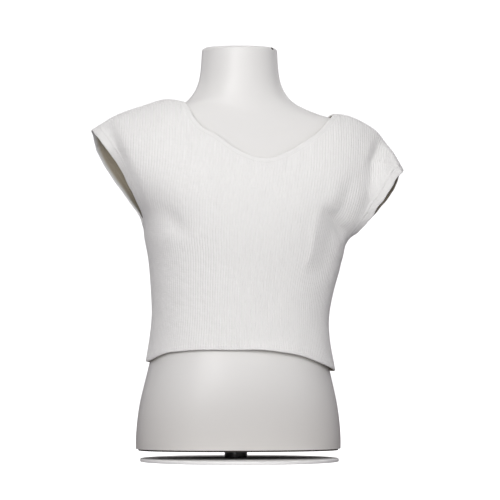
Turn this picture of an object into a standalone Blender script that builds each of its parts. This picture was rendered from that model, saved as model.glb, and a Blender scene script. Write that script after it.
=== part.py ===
"""A ribbed knitted sweater vest on a limbless torso dress form.

Metres, +Z up, the form's front towards -Y and the wearer's left towards +X.
The origin is on the ground, under the middle of the form.

The vest is two knitted panels, front and back, with a narrow band knitted on
round the neck, round each armhole and along the hem. It hangs a little askew:
its neckline has slid towards the wearer's left, so the left shoulder droops.
Each panel is worked out as rows that run across the body, numbered from 0 at
the hem to 1 at the shoulder seam. The form under it is worked out the same way.
"""

import bpy
import numpy as np

MM = 0.001
SQUARE_MM = MM * MM

# ---- driving sizes -------------------------------------------------------
CLOTH = 2.0 * MM  # thickness of the ribbed cloth
BAND = 2.6 * MM  # thickness of the bands, whose edge is doubled
BAND_PROUD = 0.3 * MM  # how far a band stands out past its panel
BAND_ROUND = 0.8 * MM
SEAM_GAP = 0.3 * MM  # between any two pieces
NECK_BAND = 7.0 * MM
ARM_BAND = 10.0 * MM
HEM_BAND = 6.0 * MM

FORM_FLOOR = 16.0 * MM  # underside of the form
BOARD_INSET = 1.4 * MM
BOARD_THICK = 4.6 * MM
BOARD_CHAMFER = 1.0 * MM
SPIGOT_RADIUS = 14.3 * MM
SPIGOT_AT = (-2.0 * MM, 22.0 * MM)
PLATE_THICK = 4.0 * MM
PLATE_RADIUS = 125.0 * MM
PLATE_EDGE = 1.0 * MM

# ---- the vest's rows -----------------------------------------------------
UNDERARM = 0.5  # the row where the side seams end and the armholes begin

# Middle of the front and of the back, up the body. Above the necklines it
# isn't cut in cloth, and only carries the rows across to the shoulders.
# row, front depth, front height, back depth, back height (mm)
CENTRE_LINE = [
    (0.00, -84.2, 146.0, 75.0, 127.0),
    (0.08, -82.6, 165.0, 72.8, 150.0),
    (0.18, -81.2, 194.0, 71.4, 184.0),
    (0.30, -82.4, 231.0, 74.4, 223.0),
    (0.41, -85.6, 264.0, 79.4, 258.0),
    (0.50, -87.4, 290.0, 82.6, 287.0),
    (0.60, -86.4, 323.0, 84.6, 322.0),
    (0.70, -81.8, 355.0, 83.4, 356.0),
    (0.79, -73.4, 385.0, 79.0, 387.0),
    (0.87, -62.8, 412.0, 71.0, 414.0),
    (0.93, -49.6, 433.6, 58.0, 434.6),
    (0.97, -32.0, 447.4, 37.0, 447.6),
    (1.00, 0.0, 453.0, 0.0, 453.0),
]

# Side seam from the hem up, and then the armhole's front and back edge, on the
# wearer's right: row, front x, y, z, back x, y, z (mm)
RIGHT_EDGE = [
    (0.00, -118.0, 0.0, 135.0, -118.0, 0.0, 135.0),
    (0.08, -113.2, 0.0, 155.0, -113.2, 0.0, 155.0),
    (0.18, -110.4, 0.0, 185.0, -110.4, 0.0, 185.0),
    (0.30, -111.8, 0.0, 222.0, -111.8, 0.0, 222.0),
    (0.41, -115.6, 0.0, 260.0, -115.6, 0.0, 260.0),
    (0.50, -120.6, 0.0, 291.0, -120.6, 0.0, 291.0),
    (0.53, -121.2, -21.8, 303.4, -121.4, 21.8, 303.4),
    (0.59, -127.3, -36.2, 322.3, -128.0, 36.2, 322.0),
    (0.66, -136.5, -45.4, 341.4, -138.8, 45.4, 341.0),
    (0.74, -147.0, -48.2, 363.0, -151.8, 49.0, 363.0),
    (0.82, -157.8, -44.0, 383.2, -163.0, 46.0, 382.6),
    (0.90, -167.2, -33.4, 400.6, -171.2, 36.0, 400.8),
    (0.96, -174.2, -18.7, 413.4, -176.2, 20.4, 413.8),
    (1.00, -178.9, 0.0, 421.2, -178.9, 0.0, 421.2),
]

# The same on the wearer's left, where the shoulder droops.
LEFT_EDGE = [
    (0.00, 119.0, 0.0, 123.0, 119.0, 0.0, 123.0),
    (0.08, 115.0, 0.0, 143.0, 115.0, 0.0, 143.0),
    (0.18, 112.2, 0.0, 173.0, 112.2, 0.0, 173.0),
    (0.30, 117.0, 0.0, 208.0, 117.0, 0.0, 208.0),
    (0.41, 126.0, 0.0, 241.0, 126.0, 0.0, 241.0),
    (0.50, 133.6, 0.0, 269.0, 133.6, 0.0, 269.0),
    (0.53, 134.6, -20.1, 279.5, 135.6, 21.0, 280.0),
    (0.59, 145.4, -36.8, 293.5, 150.8, 37.9, 293.4),
    (0.66, 157.8, -44.5, 310.8, 166.4, 45.6, 310.4),
    (0.74, 171.0, -44.3, 329.6, 181.2, 45.5, 328.2),
    (0.82, 183.0, -38.1, 345.6, 192.8, 40.4, 343.9),
    (0.90, 193.0, -28.0, 360.0, 200.2, 30.4, 359.4),
    (0.96, 200.8, -15.0, 370.0, 203.8, 16.6, 369.9),
    (1.00, 205.6, 0.0, 375.6, 205.6, 0.0, 375.6),
]

# How the rows bend: how square the row is seen from above, front and back, how
# round it is where it ends, and how late its height drops towards each end.
# row, front, back, end, right drop, left drop
ROW_BEND = [
    (0.00, 2.35, 2.35, 2.35, 7.0, 2.2),
    (0.18, 2.40, 2.40, 2.40, 5.0, 2.2),
    (0.41, 2.50, 2.45, 2.45, 2.6, 2.2),
    (0.50, 2.80, 2.60, 2.30, 2.2, 2.2),
    (0.59, 3.60, 3.20, 1.45, 2.3, 2.4),
    (0.70, 4.00, 3.60, 1.05, 2.5, 2.8),
    (0.85, 3.80, 3.40, 1.00, 3.1, 3.5),
    (1.00, 3.00, 3.00, 1.00, 3.5, 4.0),
]

# The shoulder seams and the line between them: x, z (mm).
SHOULDER_LINE = [
    (-178.9, 421.2),
    (-166.0, 429.6),
    (-150.0, 437.6),
    (-130.0, 444.7),
    (-112.0, 450.8),
    (-97.0, 455.0),
    (-86.0, 455.2),
    (-75.0, 453.6),
    (-30.0, 453.0),
    (24.0, 453.0),
    (80.0, 446.0),
    (112.0, 439.6),
    (134.0, 437.4),
    (151.0, 431.6),
    (166.5, 423.2),
    (178.0, 413.8),
    (187.4, 401.6),
    (196.4, 389.2),
    (205.6, 375.6),
]

# The necklines seen from the front: x, z (mm). Their ends meet the shoulder seams.
FRONT_NECKLINE = [
    (-78.5, 454.2),
    (-68.5, 428.6),
    (-47.2, 409.4),
    (-20.7, 389.4),
    (3.6, 375.4),
    (26.7, 371.6),
    (52.8, 379.7),
    (82.7, 397.4),
    (102.6, 413.2),
    (116.8, 428.8),
    (125.4, 438.4),
]
BACK_NECKLINE = [
    (-78.5, 454.2),
    (-61.1, 436.0),
    (-25.3, 423.6),
    (25.8, 419.0),
    (78.7, 421.0),
    (110.1, 428.3),
    (125.4, 438.4),
]

# The largest folds, as soft lines seen from the front: x and z of both ends,
# then how far the cloth moves in there and the fold's half width (mm).
FRONT_FOLDS = [
    (-167.0, 414.0, -121.0, 328.0, 3.2, 9.0),  # beside the right armhole
    (-101.0, 332.0, -59.0, 283.0, 2.4, 17.0),  # from the right armpit
    (170.0, 398.0, 154.0, 342.0, 3.6, 11.0),  # off the left shoulder's corner
    (154.0, 342.0, 145.0, 306.0, 2.6, 12.0),
    (138.0, 292.0, 109.0, 309.0, 5.0, 9.0),  # under the left arm
    (74.0, 324.0, 73.0, 244.0, -1.8, 7.0),  # down the left side
    (86.0, 322.0, 85.0, 240.0, 1.6, 7.0),
]
BACK_FOLDS = [
    (-166.0, 412.0, -124.0, 330.0, 3.0, 10.0),
    (172.0, 392.0, 146.0, 312.0, 3.4, 11.0),
    (130.0, 298.0, 88.0, 322.0, 3.0, 12.0),
    (-98.0, 320.0, -52.0, 276.0, 2.0, 18.0),
    (-44.0, 250.0, -30.0, 176.0, 1.6, 12.0),
]

# ---- the dress form's rings, bottom to top -------------------------------
# ring, middle, half width, height at the sides, depth and height at the front,
# depth and height at the back, squareness, how late the height changes (mm)
FORM_RINGS = [
    (0, -1.3, 129.0, 16.0, 76.5, 16.0, 86.5, 16.0, 2.25, 2.0),
    (1, -1.3, 128.8, 36.0, 78.0, 36.0, 88.0, 36.0, 2.25, 2.0),
    (2, -1.3, 125.3, 67.0, 80.2, 67.0, 85.0, 67.0, 2.25, 2.0),
    (3, -1.1, 118.8, 97.0, 81.2, 97.0, 76.5, 97.0, 2.25, 2.0),
    (4, -0.9, 112.2, 125.0, 79.8, 125.0, 68.6, 125.0, 2.28, 2.0),
    (5, -0.6, 107.4, 150.0, 77.0, 150.0, 63.8, 150.0, 2.30, 2.0),
    (6, -0.3, 105.0, 175.0, 74.8, 175.0, 62.0, 175.0, 2.32, 2.0),
    (7, -0.1, 106.2, 205.0, 75.4, 205.0, 64.4, 205.0, 2.35, 2.0),
    (8, 0.0, 109.0, 240.0, 78.8, 240.0, 70.2, 240.0, 2.38, 2.0),
    (9, 0.0, 111.6, 272.0, 80.8, 273.0, 75.6, 273.0, 2.42, 2.0),
    (10, 0.0, 114.0, 298.0, 81.0, 300.0, 78.0, 300.0, 2.50, 2.0),
    (11, 0.0, 118.5, 315.0, 79.8, 319.0, 78.6, 319.0, 2.60, 2.0),
    (12, 0.0, 128.0, 332.0, 77.4, 338.0, 78.4, 338.0, 2.80, 2.2),
    (13, 0.0, 142.0, 348.0, 73.4, 357.0, 77.0, 357.0, 3.00, 2.4),
    (14, 0.0, 155.0, 364.0, 68.4, 374.0, 74.2, 374.0, 3.10, 2.6),
    (15, 0.0, 163.5, 381.0, 62.8, 390.0, 70.2, 390.0, 3.00, 2.8),
    (16, 0.0, 167.0, 397.0, 57.4, 404.0, 65.8, 404.0, 2.80, 3.0),
    (17, 0.0, 165.4, 409.0, 53.0, 415.0, 61.6, 415.0, 2.50, 3.0),
    (18, 0.0, 160.0, 417.6, 49.6, 424.0, 58.0, 424.0, 2.30, 3.0),
    (19, 0.0, 148.0, 424.0, 47.0, 431.6, 54.6, 431.6, 2.05, 3.0),
    (20, 0.0, 132.0, 428.8, 45.4, 438.0, 52.0, 438.0, 1.90, 2.6),
    (21, 0.0, 113.0, 433.4, 44.4, 444.0, 50.4, 444.0, 1.80, 2.3),
    (22, 0.0, 96.0, 438.8, 43.8, 450.0, 49.6, 450.0, 1.80, 2.2),
    (23, 0.0, 82.0, 444.4, 43.4, 456.0, 49.4, 456.0, 1.90, 2.1),
    (24, 0.0, 69.6, 451.2, 43.2, 462.4, 49.4, 462.4, 1.95, 2.0),
    (25, 0.0, 60.6, 460.0, 43.0, 469.0, 49.2, 469.0, 2.0, 2.0),
    (26, 0.0, 55.2, 468.8, 43.0, 476.0, 49.0, 476.0, 2.0, 2.0),
    (27, 0.0, 51.6, 478.6, 43.0, 484.0, 48.8, 484.0, 2.0, 2.0),
    (28, 0.0, 49.4, 491.0, 43.0, 494.4, 48.6, 494.4, 2.0, 2.0),
    (29, 0.0, 48.2, 505.0, 43.0, 506.4, 48.2, 506.4, 2.0, 2.0),
    (30, 0.0, 47.6, 515.6, 42.8, 516.0, 48.0, 516.0, 2.0, 2.0),
    (31, 0.0, 46.6, 518.8, 42.0, 519.0, 47.0, 519.0, 2.0, 2.0),
    (32, 0.0, 43.6, 520.6, 39.0, 520.8, 44.0, 520.8, 2.0, 2.0),
]
FORM_TOP = 523.0 * MM

FORM_WHITE = ("form_white", (0.80, 0.79, 0.77), 0.28, 0.0)
KNIT_WHITE = ("knit_white", (0.83, 0.82, 0.80), 0.92, 0.0)
BOARD_DARK = ("board_dark", (0.05, 0.045, 0.04), 0.6, 0.0)
SPIGOT_BLACK = ("spigot_black", (0.02, 0.02, 0.02), 0.45, 0.0)
PLATE_WHITE = ("plate_white", (0.82, 0.82, 0.81), 0.4, 0.0)


# ---- curves and tables ---------------------------------------------------
def spline(at, values, where):
    """Natural cubic spline through the values' rows, which stand at the places at."""
    at, values = np.asarray(at, float), np.asarray(values, float)
    step = np.diff(at)
    slope = np.diff(values, axis=0) / step[:, None]
    system, right = np.eye(len(at)), np.zeros_like(values)
    for i in range(1, len(at) - 1):
        system[i, i - 1 : i + 2] = step[i - 1], 2 * (step[i - 1] + step[i]), step[i]
        right[i] = 6 * (slope[i] - slope[i - 1])
    bend = np.linalg.solve(system, right)
    where = np.atleast_1d(np.asarray(where, float))
    i = np.clip(np.searchsorted(at, where) - 1, 0, len(step) - 1)
    h, low, high = step[i, None], (at[i + 1] - where)[:, None], (where - at[i])[:, None]
    return (
        (bend[i] * low**3 + bend[i + 1] * high**3) / (6 * h)
        + (values[i] / h - bend[i] * h / 6) * low
        + (values[i + 1] / h - bend[i + 1] * h / 6) * high
    )


def table(rows, where, scale=MM):
    """The table's other columns at the places where in its first column, in metres."""
    rows = np.array(rows)
    return spline(rows[:, 0], rows[:, 1:] * scale, where).T


def unit(vectors):
    return vectors / np.maximum(np.linalg.norm(vectors, axis=-1, keepdims=True), 1e-12)


def squared_arc(angle, square):
    """Reach to the side and depth to the front of a squared half circle."""
    sine, cosine = np.sin(angle), np.cos(angle)
    reach = np.sign(sine) * np.abs(sine) ** (2 / square)
    return reach, np.abs(cosine) ** (2 / square)


# ---- the vest as two surfaces --------------------------------------------
STATIONS = 161
LOWER_ROWS, UPPER_ROWS = 10, 16  # rows of a panel's mesh below and above the underarm
SHOULDER_COLUMNS, NECK_COLUMNS = 6, 18
FOLD_FADE = 25.0 * MM  # a fold fades out over this depth from the seams
# The rows that are worked out lie close together at the underarm and the shoulder.
CROWDED = (1 - np.cos(np.linspace(0, np.pi, 121))) / 2
LOWER = np.linspace(0, UNDERARM, 40)
ROWS = np.r_[LOWER[:-1], UNDERARM + (1 - UNDERARM) * CROWDED]


def edge_ends(edge, row, front):
    """Where a row ends. The armhole is round at its foot and its tip, as its depth squared is smooth."""
    x, y, z = table(edge, row).ravel()[slice(0, 3) if front else slice(3, 6)]
    squares = [(r[0], (r[2] if front else r[5]) ** 2) for r in edge if r[0] >= UNDERARM]
    y = 0.0
    if row > UNDERARM:
        y = np.sqrt(max(table(squares, row, SQUARE_MM).item(), 0.0))
    return x, (-1 if front else 1) * (y + SEAM_GAP / 2), z


def shoulder_fall(share):
    """How much of its fall the shoulder line has made along the row, from 0 to 1 at the tips."""
    line = np.array(SHOULDER_LINE) * MM
    x = line[0, 0] + (line[-1, 0] - line[0, 0]) * share
    height = spline(line[:, 0], line[:, 1:], x)[:, 0]
    top = CENTRE_LINE[-1][2] * MM
    return (top - height) / (top - np.where(share > 0.5, line[-1, 1], line[0, 1]))


def folded(side, front):
    """The side with its folds pressed in, which fade out towards its seams."""
    x, z = side[..., 0], side[..., 2]
    inward = np.zeros(x.shape)
    for *ends, depth, width in FRONT_FOLDS if front else BACK_FOLDS:
        x1, z1, x2, z2 = np.array(ends) * MM
        run, rise = x2 - x1, z2 - z1
        along = ((x - x1) * run + (z - z1) * rise) / (run**2 + rise**2)
        along = np.clip(along, 0, 1)
        away = np.hypot(x - x1 - along * run, z - z1 - along * rise)
        inward += depth * MM * np.exp(-((away / (width * MM)) ** 2))
    inward *= np.clip(np.abs(side[..., 1]) / FOLD_FADE, 0, 1)
    normals = grid_normals(side, 1 if front else -1)
    return side - inward[..., None] * normals


def vest_side(front):
    """Outer face of the front or the back: points by row and by share of the row's length."""
    side = np.empty((len(ROWS), STATIONS, 3))
    reach = np.sin(np.linspace(-0.5, 0.5, 4 * STATIONS) * np.pi)
    share = (reach + 1) / 2
    on_left = reach > 0
    middles = table(CENTRE_LINE, ROWS)[slice(0, 2) if front else slice(2, 4)]
    squares = [(r[0], r[1] ** 2, r[3] ** 2) for r in CENTRE_LINE]
    depths = np.sqrt(np.maximum(table(squares, ROWS, SQUARE_MM)[0 if front else 1], 0))
    for i, row in enumerate(ROWS):
        right_end, left_end = (edge_ends(e, row, front) for e in (RIGHT_EDGE, LEFT_EDGE))
        bend = table(ROW_BEND, row, 1).ravel()
        depth = (1 - np.abs(reach) ** bend[0 if front else 1]) ** (1 / bend[2])
        late = np.abs(reach) ** np.where(on_left, bend[4], bend[3])
        blend = max(0.0, (row - UNDERARM) / (1 - UNDERARM)) ** 2
        late = late + (shoulder_fall(share) - late) * blend
        y_end = right_end[1] + (left_end[1] - right_end[1]) * share
        y_mid = (-1 if front else 1) * (depths[i] + SEAM_GAP / 2)
        z_mid, z_end = middles[1, i], np.where(on_left, left_end[2], right_end[2])
        line = np.stack(
            [
                right_end[0] + (left_end[0] - right_end[0]) * share,
                y_end + (y_mid - y_end) * depth,
                z_mid + (z_end - z_mid) * late,
            ],
            axis=1,
        )
        side[i] = evenly(line, STATIONS)
    return folded(side, front)


def evenly(line, count):
    """Points spaced evenly along a line of points."""
    length = np.r_[0, np.cumsum(np.linalg.norm(np.diff(line, axis=0), axis=1))]
    places = np.linspace(0, length[-1], count)
    return np.stack([np.interp(places, length, line[:, k]) for k in range(3)], axis=1)


def at(side, row, share):
    """Points of a side at these rows and shares of the row."""
    r = np.interp(row, ROWS, np.arange(len(ROWS)))
    s = np.clip(share, 0, 1) * (STATIONS - 1)
    i = np.minimum(r.astype(int), len(ROWS) - 2)
    j = np.minimum(s.astype(int), STATIONS - 2)
    u, v = (r - i)[..., None], (s - j)[..., None]
    low = side[i, j] * (1 - v) + side[i, j + 1] * v
    high = side[i + 1, j] * (1 - v) + side[i + 1, j + 1] * v
    return low * (1 - u) + high * u


def panel_grid(side, neckline, shares):
    """Points of a panel: rows to the underarm, then as many up each column to its top."""
    necks = np.array(neckline) * MM
    grid = np.empty((LOWER_ROWS + UPPER_ROWS, len(shares), 3))
    low = np.linspace(0, UNDERARM, LOWER_ROWS, endpoint=False)
    high = UNDERARM + (1 - UNDERARM) * (1 - np.cos(np.linspace(0, np.pi, 601))) / 2
    for j, share in enumerate(shares):
        grid[:LOWER_ROWS, j] = at(side, low, np.full(len(low), share))
        column = at(side, high, np.full(len(high), share))
        x = np.clip(column[:, 0], *necks[[0, -1], 0])
        above = column[:, 2] > spline(necks[:, 0], necks[:, 1:], x)[:, 0]
        above &= (column[:, 0] > necks[0, 0]) & (column[:, 0] < necks[-1, 0])
        top = np.flatnonzero(above)[0] + 1 if above.any() else len(high)
        grid[LOWER_ROWS:, j] = evenly(column[:top], UPPER_ROWS)
    return grid


def grid_normals(grid, outward):
    """Unit normals of a grid of points; on the seams they stay in the seam's plane."""
    normals = outward * unit(np.cross(np.gradient(grid, axis=1), np.gradient(grid, axis=0)))
    normals[np.abs(grid[..., 1]) < SEAM_GAP, 1] = 0
    return unit(normals)


# ---- meshes --------------------------------------------------------------
def make(name, points, faces, material):
    mesh = bpy.data.meshes.new(name)
    mesh.from_pydata([tuple(p) for p in np.asarray(points).reshape(-1, 3)], [], faces)
    mesh.validate()
    colour = bpy.data.materials.get(material[0]) or bpy.data.materials.new(material[0])
    colour.use_nodes = True
    shader = colour.node_tree.nodes["Principled BSDF"]
    shader.inputs["Base Color"].default_value = (*material[1], 1)
    shader.inputs["Roughness"].default_value = material[2]
    shader.inputs["Metallic"].default_value = material[3]
    mesh.materials.append(colour)
    piece = bpy.data.objects.new(name, mesh)
    bpy.context.scene.collection.objects.link(piece)
    return piece


def quads(rows, columns, round_rows=False, round_columns=False):
    """Faces of a grid of points, whose last row or column may join its first."""
    found = []
    for i in range(rows if round_rows else rows - 1):
        for j in range(columns if round_columns else columns - 1):
            k, m = (i + 1) % rows, (j + 1) % columns
            found.append((i * columns + j, i * columns + m, k * columns + m, k * columns + j))
    return found


def slab(name, outer, inner, material, outward):
    """A sheet's two faces, given as grids, closed round its border."""
    rows, columns = outer.shape[:2]
    faces = quads(rows, columns)
    count = rows * columns
    faces += [tuple(v + count for v in reversed(face)) for face in faces]
    border = [j for j in range(columns)]
    border += [i * columns + columns - 1 for i in range(1, rows)]
    border += [(rows - 1) * columns + j for j in range(columns - 2, -1, -1)]
    border += [i * columns for i in range(rows - 2, 0, -1)]
    for a, b in zip(border, border[1:] + border[:1]):
        faces.append((b, a, a + count, b + count))
    if outward < 0:
        faces = [tuple(reversed(face)) for face in faces]
    return make(name, np.concatenate([outer.reshape(-1, 3), inner.reshape(-1, 3)]), faces, material)


def edge_band(name, edge, normals, away, width):
    """A closed band that carries on past a sheet's edge by width."""
    along = unit(np.roll(edge, -1, axis=0) - np.roll(edge, 1, axis=0))
    out = unit(np.cross(along, normals))
    if (out @ np.array(away)).mean() < 0:
        edge, normals, out = edge[::-1], normals[::-1], -out[::-1]
    top, low, soft = BAND_PROUD, BAND_PROUD - BAND, BAND_ROUND
    section = [
        (1.5 * SEAM_GAP, top),
        (width - soft, top),
        (width, top - soft),
        (width, low + soft),
        (width - soft, low),
        (1.5 * SEAM_GAP, low),
    ]
    points = np.stack([edge + a * out + h * normals for a, h in section], axis=1)
    return make(name, points, quads(len(edge), len(section), True, True), KNIT_WHITE)


# ---- the vest ------------------------------------------------------------
def columns_of(side, neckline):
    """Shares of a panel's columns, which crowd at the two neck points, and those points' numbers."""
    ridge, shares = side[-1, :, 0], np.linspace(0, 1, STATIONS)
    first, last = (np.interp(neckline[i][0] * MM, ridge, shares) for i in (0, -1))
    crowded = (1 - np.cos(np.linspace(0, np.pi, NECK_COLUMNS + 1))) / 2
    columns = [
        np.linspace(0, first, SHOULDER_COLUMNS + 1)[:-1],
        first + (last - first) * crowded,
        np.linspace(last, 1, SHOULDER_COLUMNS + 1)[1:],
    ]
    return np.concatenate(columns), SHOULDER_COLUMNS, SHOULDER_COLUMNS + NECK_COLUMNS


def build_vest():
    sheets = []
    for name, neckline, outward in (
        ("vest_front", FRONT_NECKLINE, 1),
        ("vest_back", BACK_NECKLINE, -1),
    ):
        side = vest_side(outward > 0)
        shares, first, last = columns_of(side, neckline)
        grid = panel_grid(side, neckline, shares)
        normals = grid_normals(grid, outward)
        slab(name, grid, grid - CLOTH * normals, KNIT_WHITE, outward)
        sheets.append((grid, normals))
    (front, front_n), (back, back_n) = sheets

    def loop(front_part, back_part):
        """A closed line along the front's edge and back along the back's."""
        joined = np.concatenate([front_part[1:-1], back_part[::-1][1:-1]])
        ends = (front_part[[0, -1]] + back_part[[0, -1]]) / 2
        return np.concatenate([ends[:1], joined[: len(front_part) - 2], ends[1:], joined[len(front_part) - 2 :]])

    def band(name, rows, columns, away, width):
        edge = loop(front[rows, columns], back[rows, columns])
        normals = unit(loop(front_n[rows, columns], back_n[rows, columns]))
        edge_band(name, edge, normals, away, width)

    band("armhole_band_right", slice(LOWER_ROWS, None), 0, (-1, 0, 0.5), ARM_BAND)
    band("armhole_band_left", slice(LOWER_ROWS, None), -1, (1, 0, 0.5), ARM_BAND)
    band("neck_band", -1, slice(first, last + 1), (0, 0, 1), NECK_BAND)
    band("hem_band", 0, slice(None), (0, 0, -1), HEM_BAND)


# ---- the dress form and its stand ----------------------------------------
AROUND = 40


def form_rings(where):
    """Rings of the form's outside at these ring numbers, from the right side round by the front."""
    columns = table(FORM_RINGS, where)
    middle, wide, side_z, front_y, front_z, back_y, back_z, square, late = columns
    angle = (np.arange(AROUND) / AROUND - 0.25) * 2 * np.pi
    in_front = np.cos(angle) >= 0
    rings = []
    for i in range(len(wide)):
        reach, depth = squared_arc(angle, square[i] / MM)
        y = np.where(in_front, -front_y[i], back_y[i]) * depth
        z = np.where(in_front, front_z[i], back_z[i])
        z = z + (side_z[i] - z) * np.abs(reach) ** (late[i] / MM)
        rings.append(np.stack([middle[i] + wide[i] * reach, y, z], axis=1))
    return np.array(rings)


def build_form():
    """The form's body, flat underneath and closed by a low crown at its neck."""
    rings = form_rings([ring[0] for ring in FORM_RINGS])
    faces = quads(len(rings), AROUND, round_columns=True)
    faces.append(tuple(reversed(range(AROUND))))
    last = (len(rings) - 1) * AROUND
    faces += [(last + j, last + (j + 1) % AROUND, last + AROUND) for j in range(AROUND)]
    x, y, _ = rings[-1].mean(axis=0)
    points = np.concatenate([rings.reshape(-1, 3), [(x, y, FORM_TOP)]])
    make("form_body", points, faces, FORM_WHITE)


def disc(name, outline, levels, material):
    """A flat-topped solid: the outline moved in by each level's inset, closed at both ends."""
    centre = outline.mean(axis=0)
    rings = []
    for height, inset in levels:
        flat = outline - centre
        ring = centre + flat - inset * unit(flat)
        rings.append(np.column_stack([ring, np.full(len(ring), height)]))
    rings = np.array(rings)
    rows, columns = rings.shape[:2]
    faces = quads(rows, columns, round_columns=True)
    faces.append(tuple(reversed(range(columns))))
    faces.append(tuple((rows - 1) * columns + j for j in range(columns)))
    return make(name, rings, faces, material)


def build_stand():
    rim = form_rings([0])[0][:, :2]
    floor = FORM_FLOOR - SEAM_GAP
    board = [
        (floor - BOARD_THICK, BOARD_INSET + BOARD_CHAMFER),
        (floor - BOARD_THICK + BOARD_CHAMFER, BOARD_INSET),
        (floor, BOARD_INSET),
    ]
    disc("form_board", rim, board, BOARD_DARK)
    turn = np.arange(48) * 2 * np.pi / 48
    circle = np.stack([np.cos(turn), np.sin(turn)], axis=1)
    spigot = [
        (PLATE_THICK + SEAM_GAP, 0.0),
        (floor - BOARD_THICK - SEAM_GAP, 0.0),
    ]
    disc("pole_socket", SPIGOT_RADIUS * circle + SPIGOT_AT, spigot, SPIGOT_BLACK)
    plate = [(0.0, 0.0), (PLATE_THICK - PLATE_EDGE, 0.0), (PLATE_THICK, PLATE_EDGE)]
    disc("foot_plate", PLATE_RADIUS * circle, plate, PLATE_WHITE)


for old in list(bpy.data.objects):
    bpy.data.objects.remove(old)
build_form()
build_stand()
build_vest()
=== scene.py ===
"""A ribbed knitted sweater vest, worn by a torso dress form on a short stand.

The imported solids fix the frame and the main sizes, which the tables below refine. Each
section makes one piece, or one group of like pieces, in the order in which the real
thing is put together.
Metres, or millimetres in the tables that say so; +Z up, the form's front towards -Y,
the wearer's left towards +X.
"""

import math

import bpy
import numpy as np
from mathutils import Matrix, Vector, noise
from mathutils.bvhtree import BVHTree


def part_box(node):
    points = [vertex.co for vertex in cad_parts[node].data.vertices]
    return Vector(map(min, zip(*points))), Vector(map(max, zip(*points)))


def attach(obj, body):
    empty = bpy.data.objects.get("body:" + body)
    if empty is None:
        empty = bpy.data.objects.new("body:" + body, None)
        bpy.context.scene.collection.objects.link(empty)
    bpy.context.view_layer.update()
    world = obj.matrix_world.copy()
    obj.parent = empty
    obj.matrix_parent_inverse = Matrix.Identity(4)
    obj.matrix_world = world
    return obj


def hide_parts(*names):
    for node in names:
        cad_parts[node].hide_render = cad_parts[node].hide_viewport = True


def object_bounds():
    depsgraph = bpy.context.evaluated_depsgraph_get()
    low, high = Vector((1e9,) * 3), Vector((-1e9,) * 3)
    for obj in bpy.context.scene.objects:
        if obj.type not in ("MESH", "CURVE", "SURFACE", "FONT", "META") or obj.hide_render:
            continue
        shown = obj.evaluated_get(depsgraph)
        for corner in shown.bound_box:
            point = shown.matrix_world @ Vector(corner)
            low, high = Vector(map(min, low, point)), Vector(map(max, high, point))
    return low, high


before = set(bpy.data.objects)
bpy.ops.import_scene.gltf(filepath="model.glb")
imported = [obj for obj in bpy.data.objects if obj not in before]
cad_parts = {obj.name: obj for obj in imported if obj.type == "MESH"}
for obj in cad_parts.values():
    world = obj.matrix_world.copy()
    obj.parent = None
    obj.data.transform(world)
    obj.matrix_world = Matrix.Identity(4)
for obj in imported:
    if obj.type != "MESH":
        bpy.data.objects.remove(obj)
cad_low, cad_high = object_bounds()
MM = 0.001

# ---- Foot plate ------------------------------------------------------------
# A round plate of 4 mm steel under the pole, powder coated in matt white. Its
# edges are broken by a small round, and the coating has a fine orange peel.


class Value:
    """A number worked out at each point of a surface. Python's operators add its Math nodes."""

    def __init__(self, surface, socket):
        self.surface, self.socket = surface, socket

    def math(self, operation, first, second=0.0):
        return self.surface.add("ShaderNodeMath", {"operation": operation}, {0: first, 1: second})

    def __add__(self, other):
        return self.math("ADD", self, other)

    def __sub__(self, other):
        return self.math("SUBTRACT", self, other)

    def __rsub__(self, other):
        return self.math("SUBTRACT", other, self)

    def __mul__(self, other):
        return self.math("MULTIPLY", self, other)

    def __pow__(self, other):
        return self.math("POWER", self, other)

    __radd__ = __add__

    def fraction(self):
        return self.math("FRACT", self)

    def size(self):
        return self.math("ABSOLUTE", self)

    def cosine(self):
        return self.math("COSINE", self)

    def part(self, axis):
        return self.surface.add("ShaderNodeSeparateXYZ", {}, {"Vector": self}, out=axis)


def feed(tree, node, sockets):
    """Gives a node's inputs their values, or links them to other nodes' outputs."""
    for key, value in sockets.items():
        value = value.socket if isinstance(value, Value) else value
        if isinstance(value, bpy.types.NodeSocket):
            tree.links.new(value, node.inputs[key])
        else:
            node.inputs[key].default_value = value


def new_node(tree, kind, settings, sockets):
    node = tree.nodes.new(kind)
    for key, value in settings.items():
        setattr(node, key, value)
    feed(tree, node, sockets)
    return node


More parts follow.
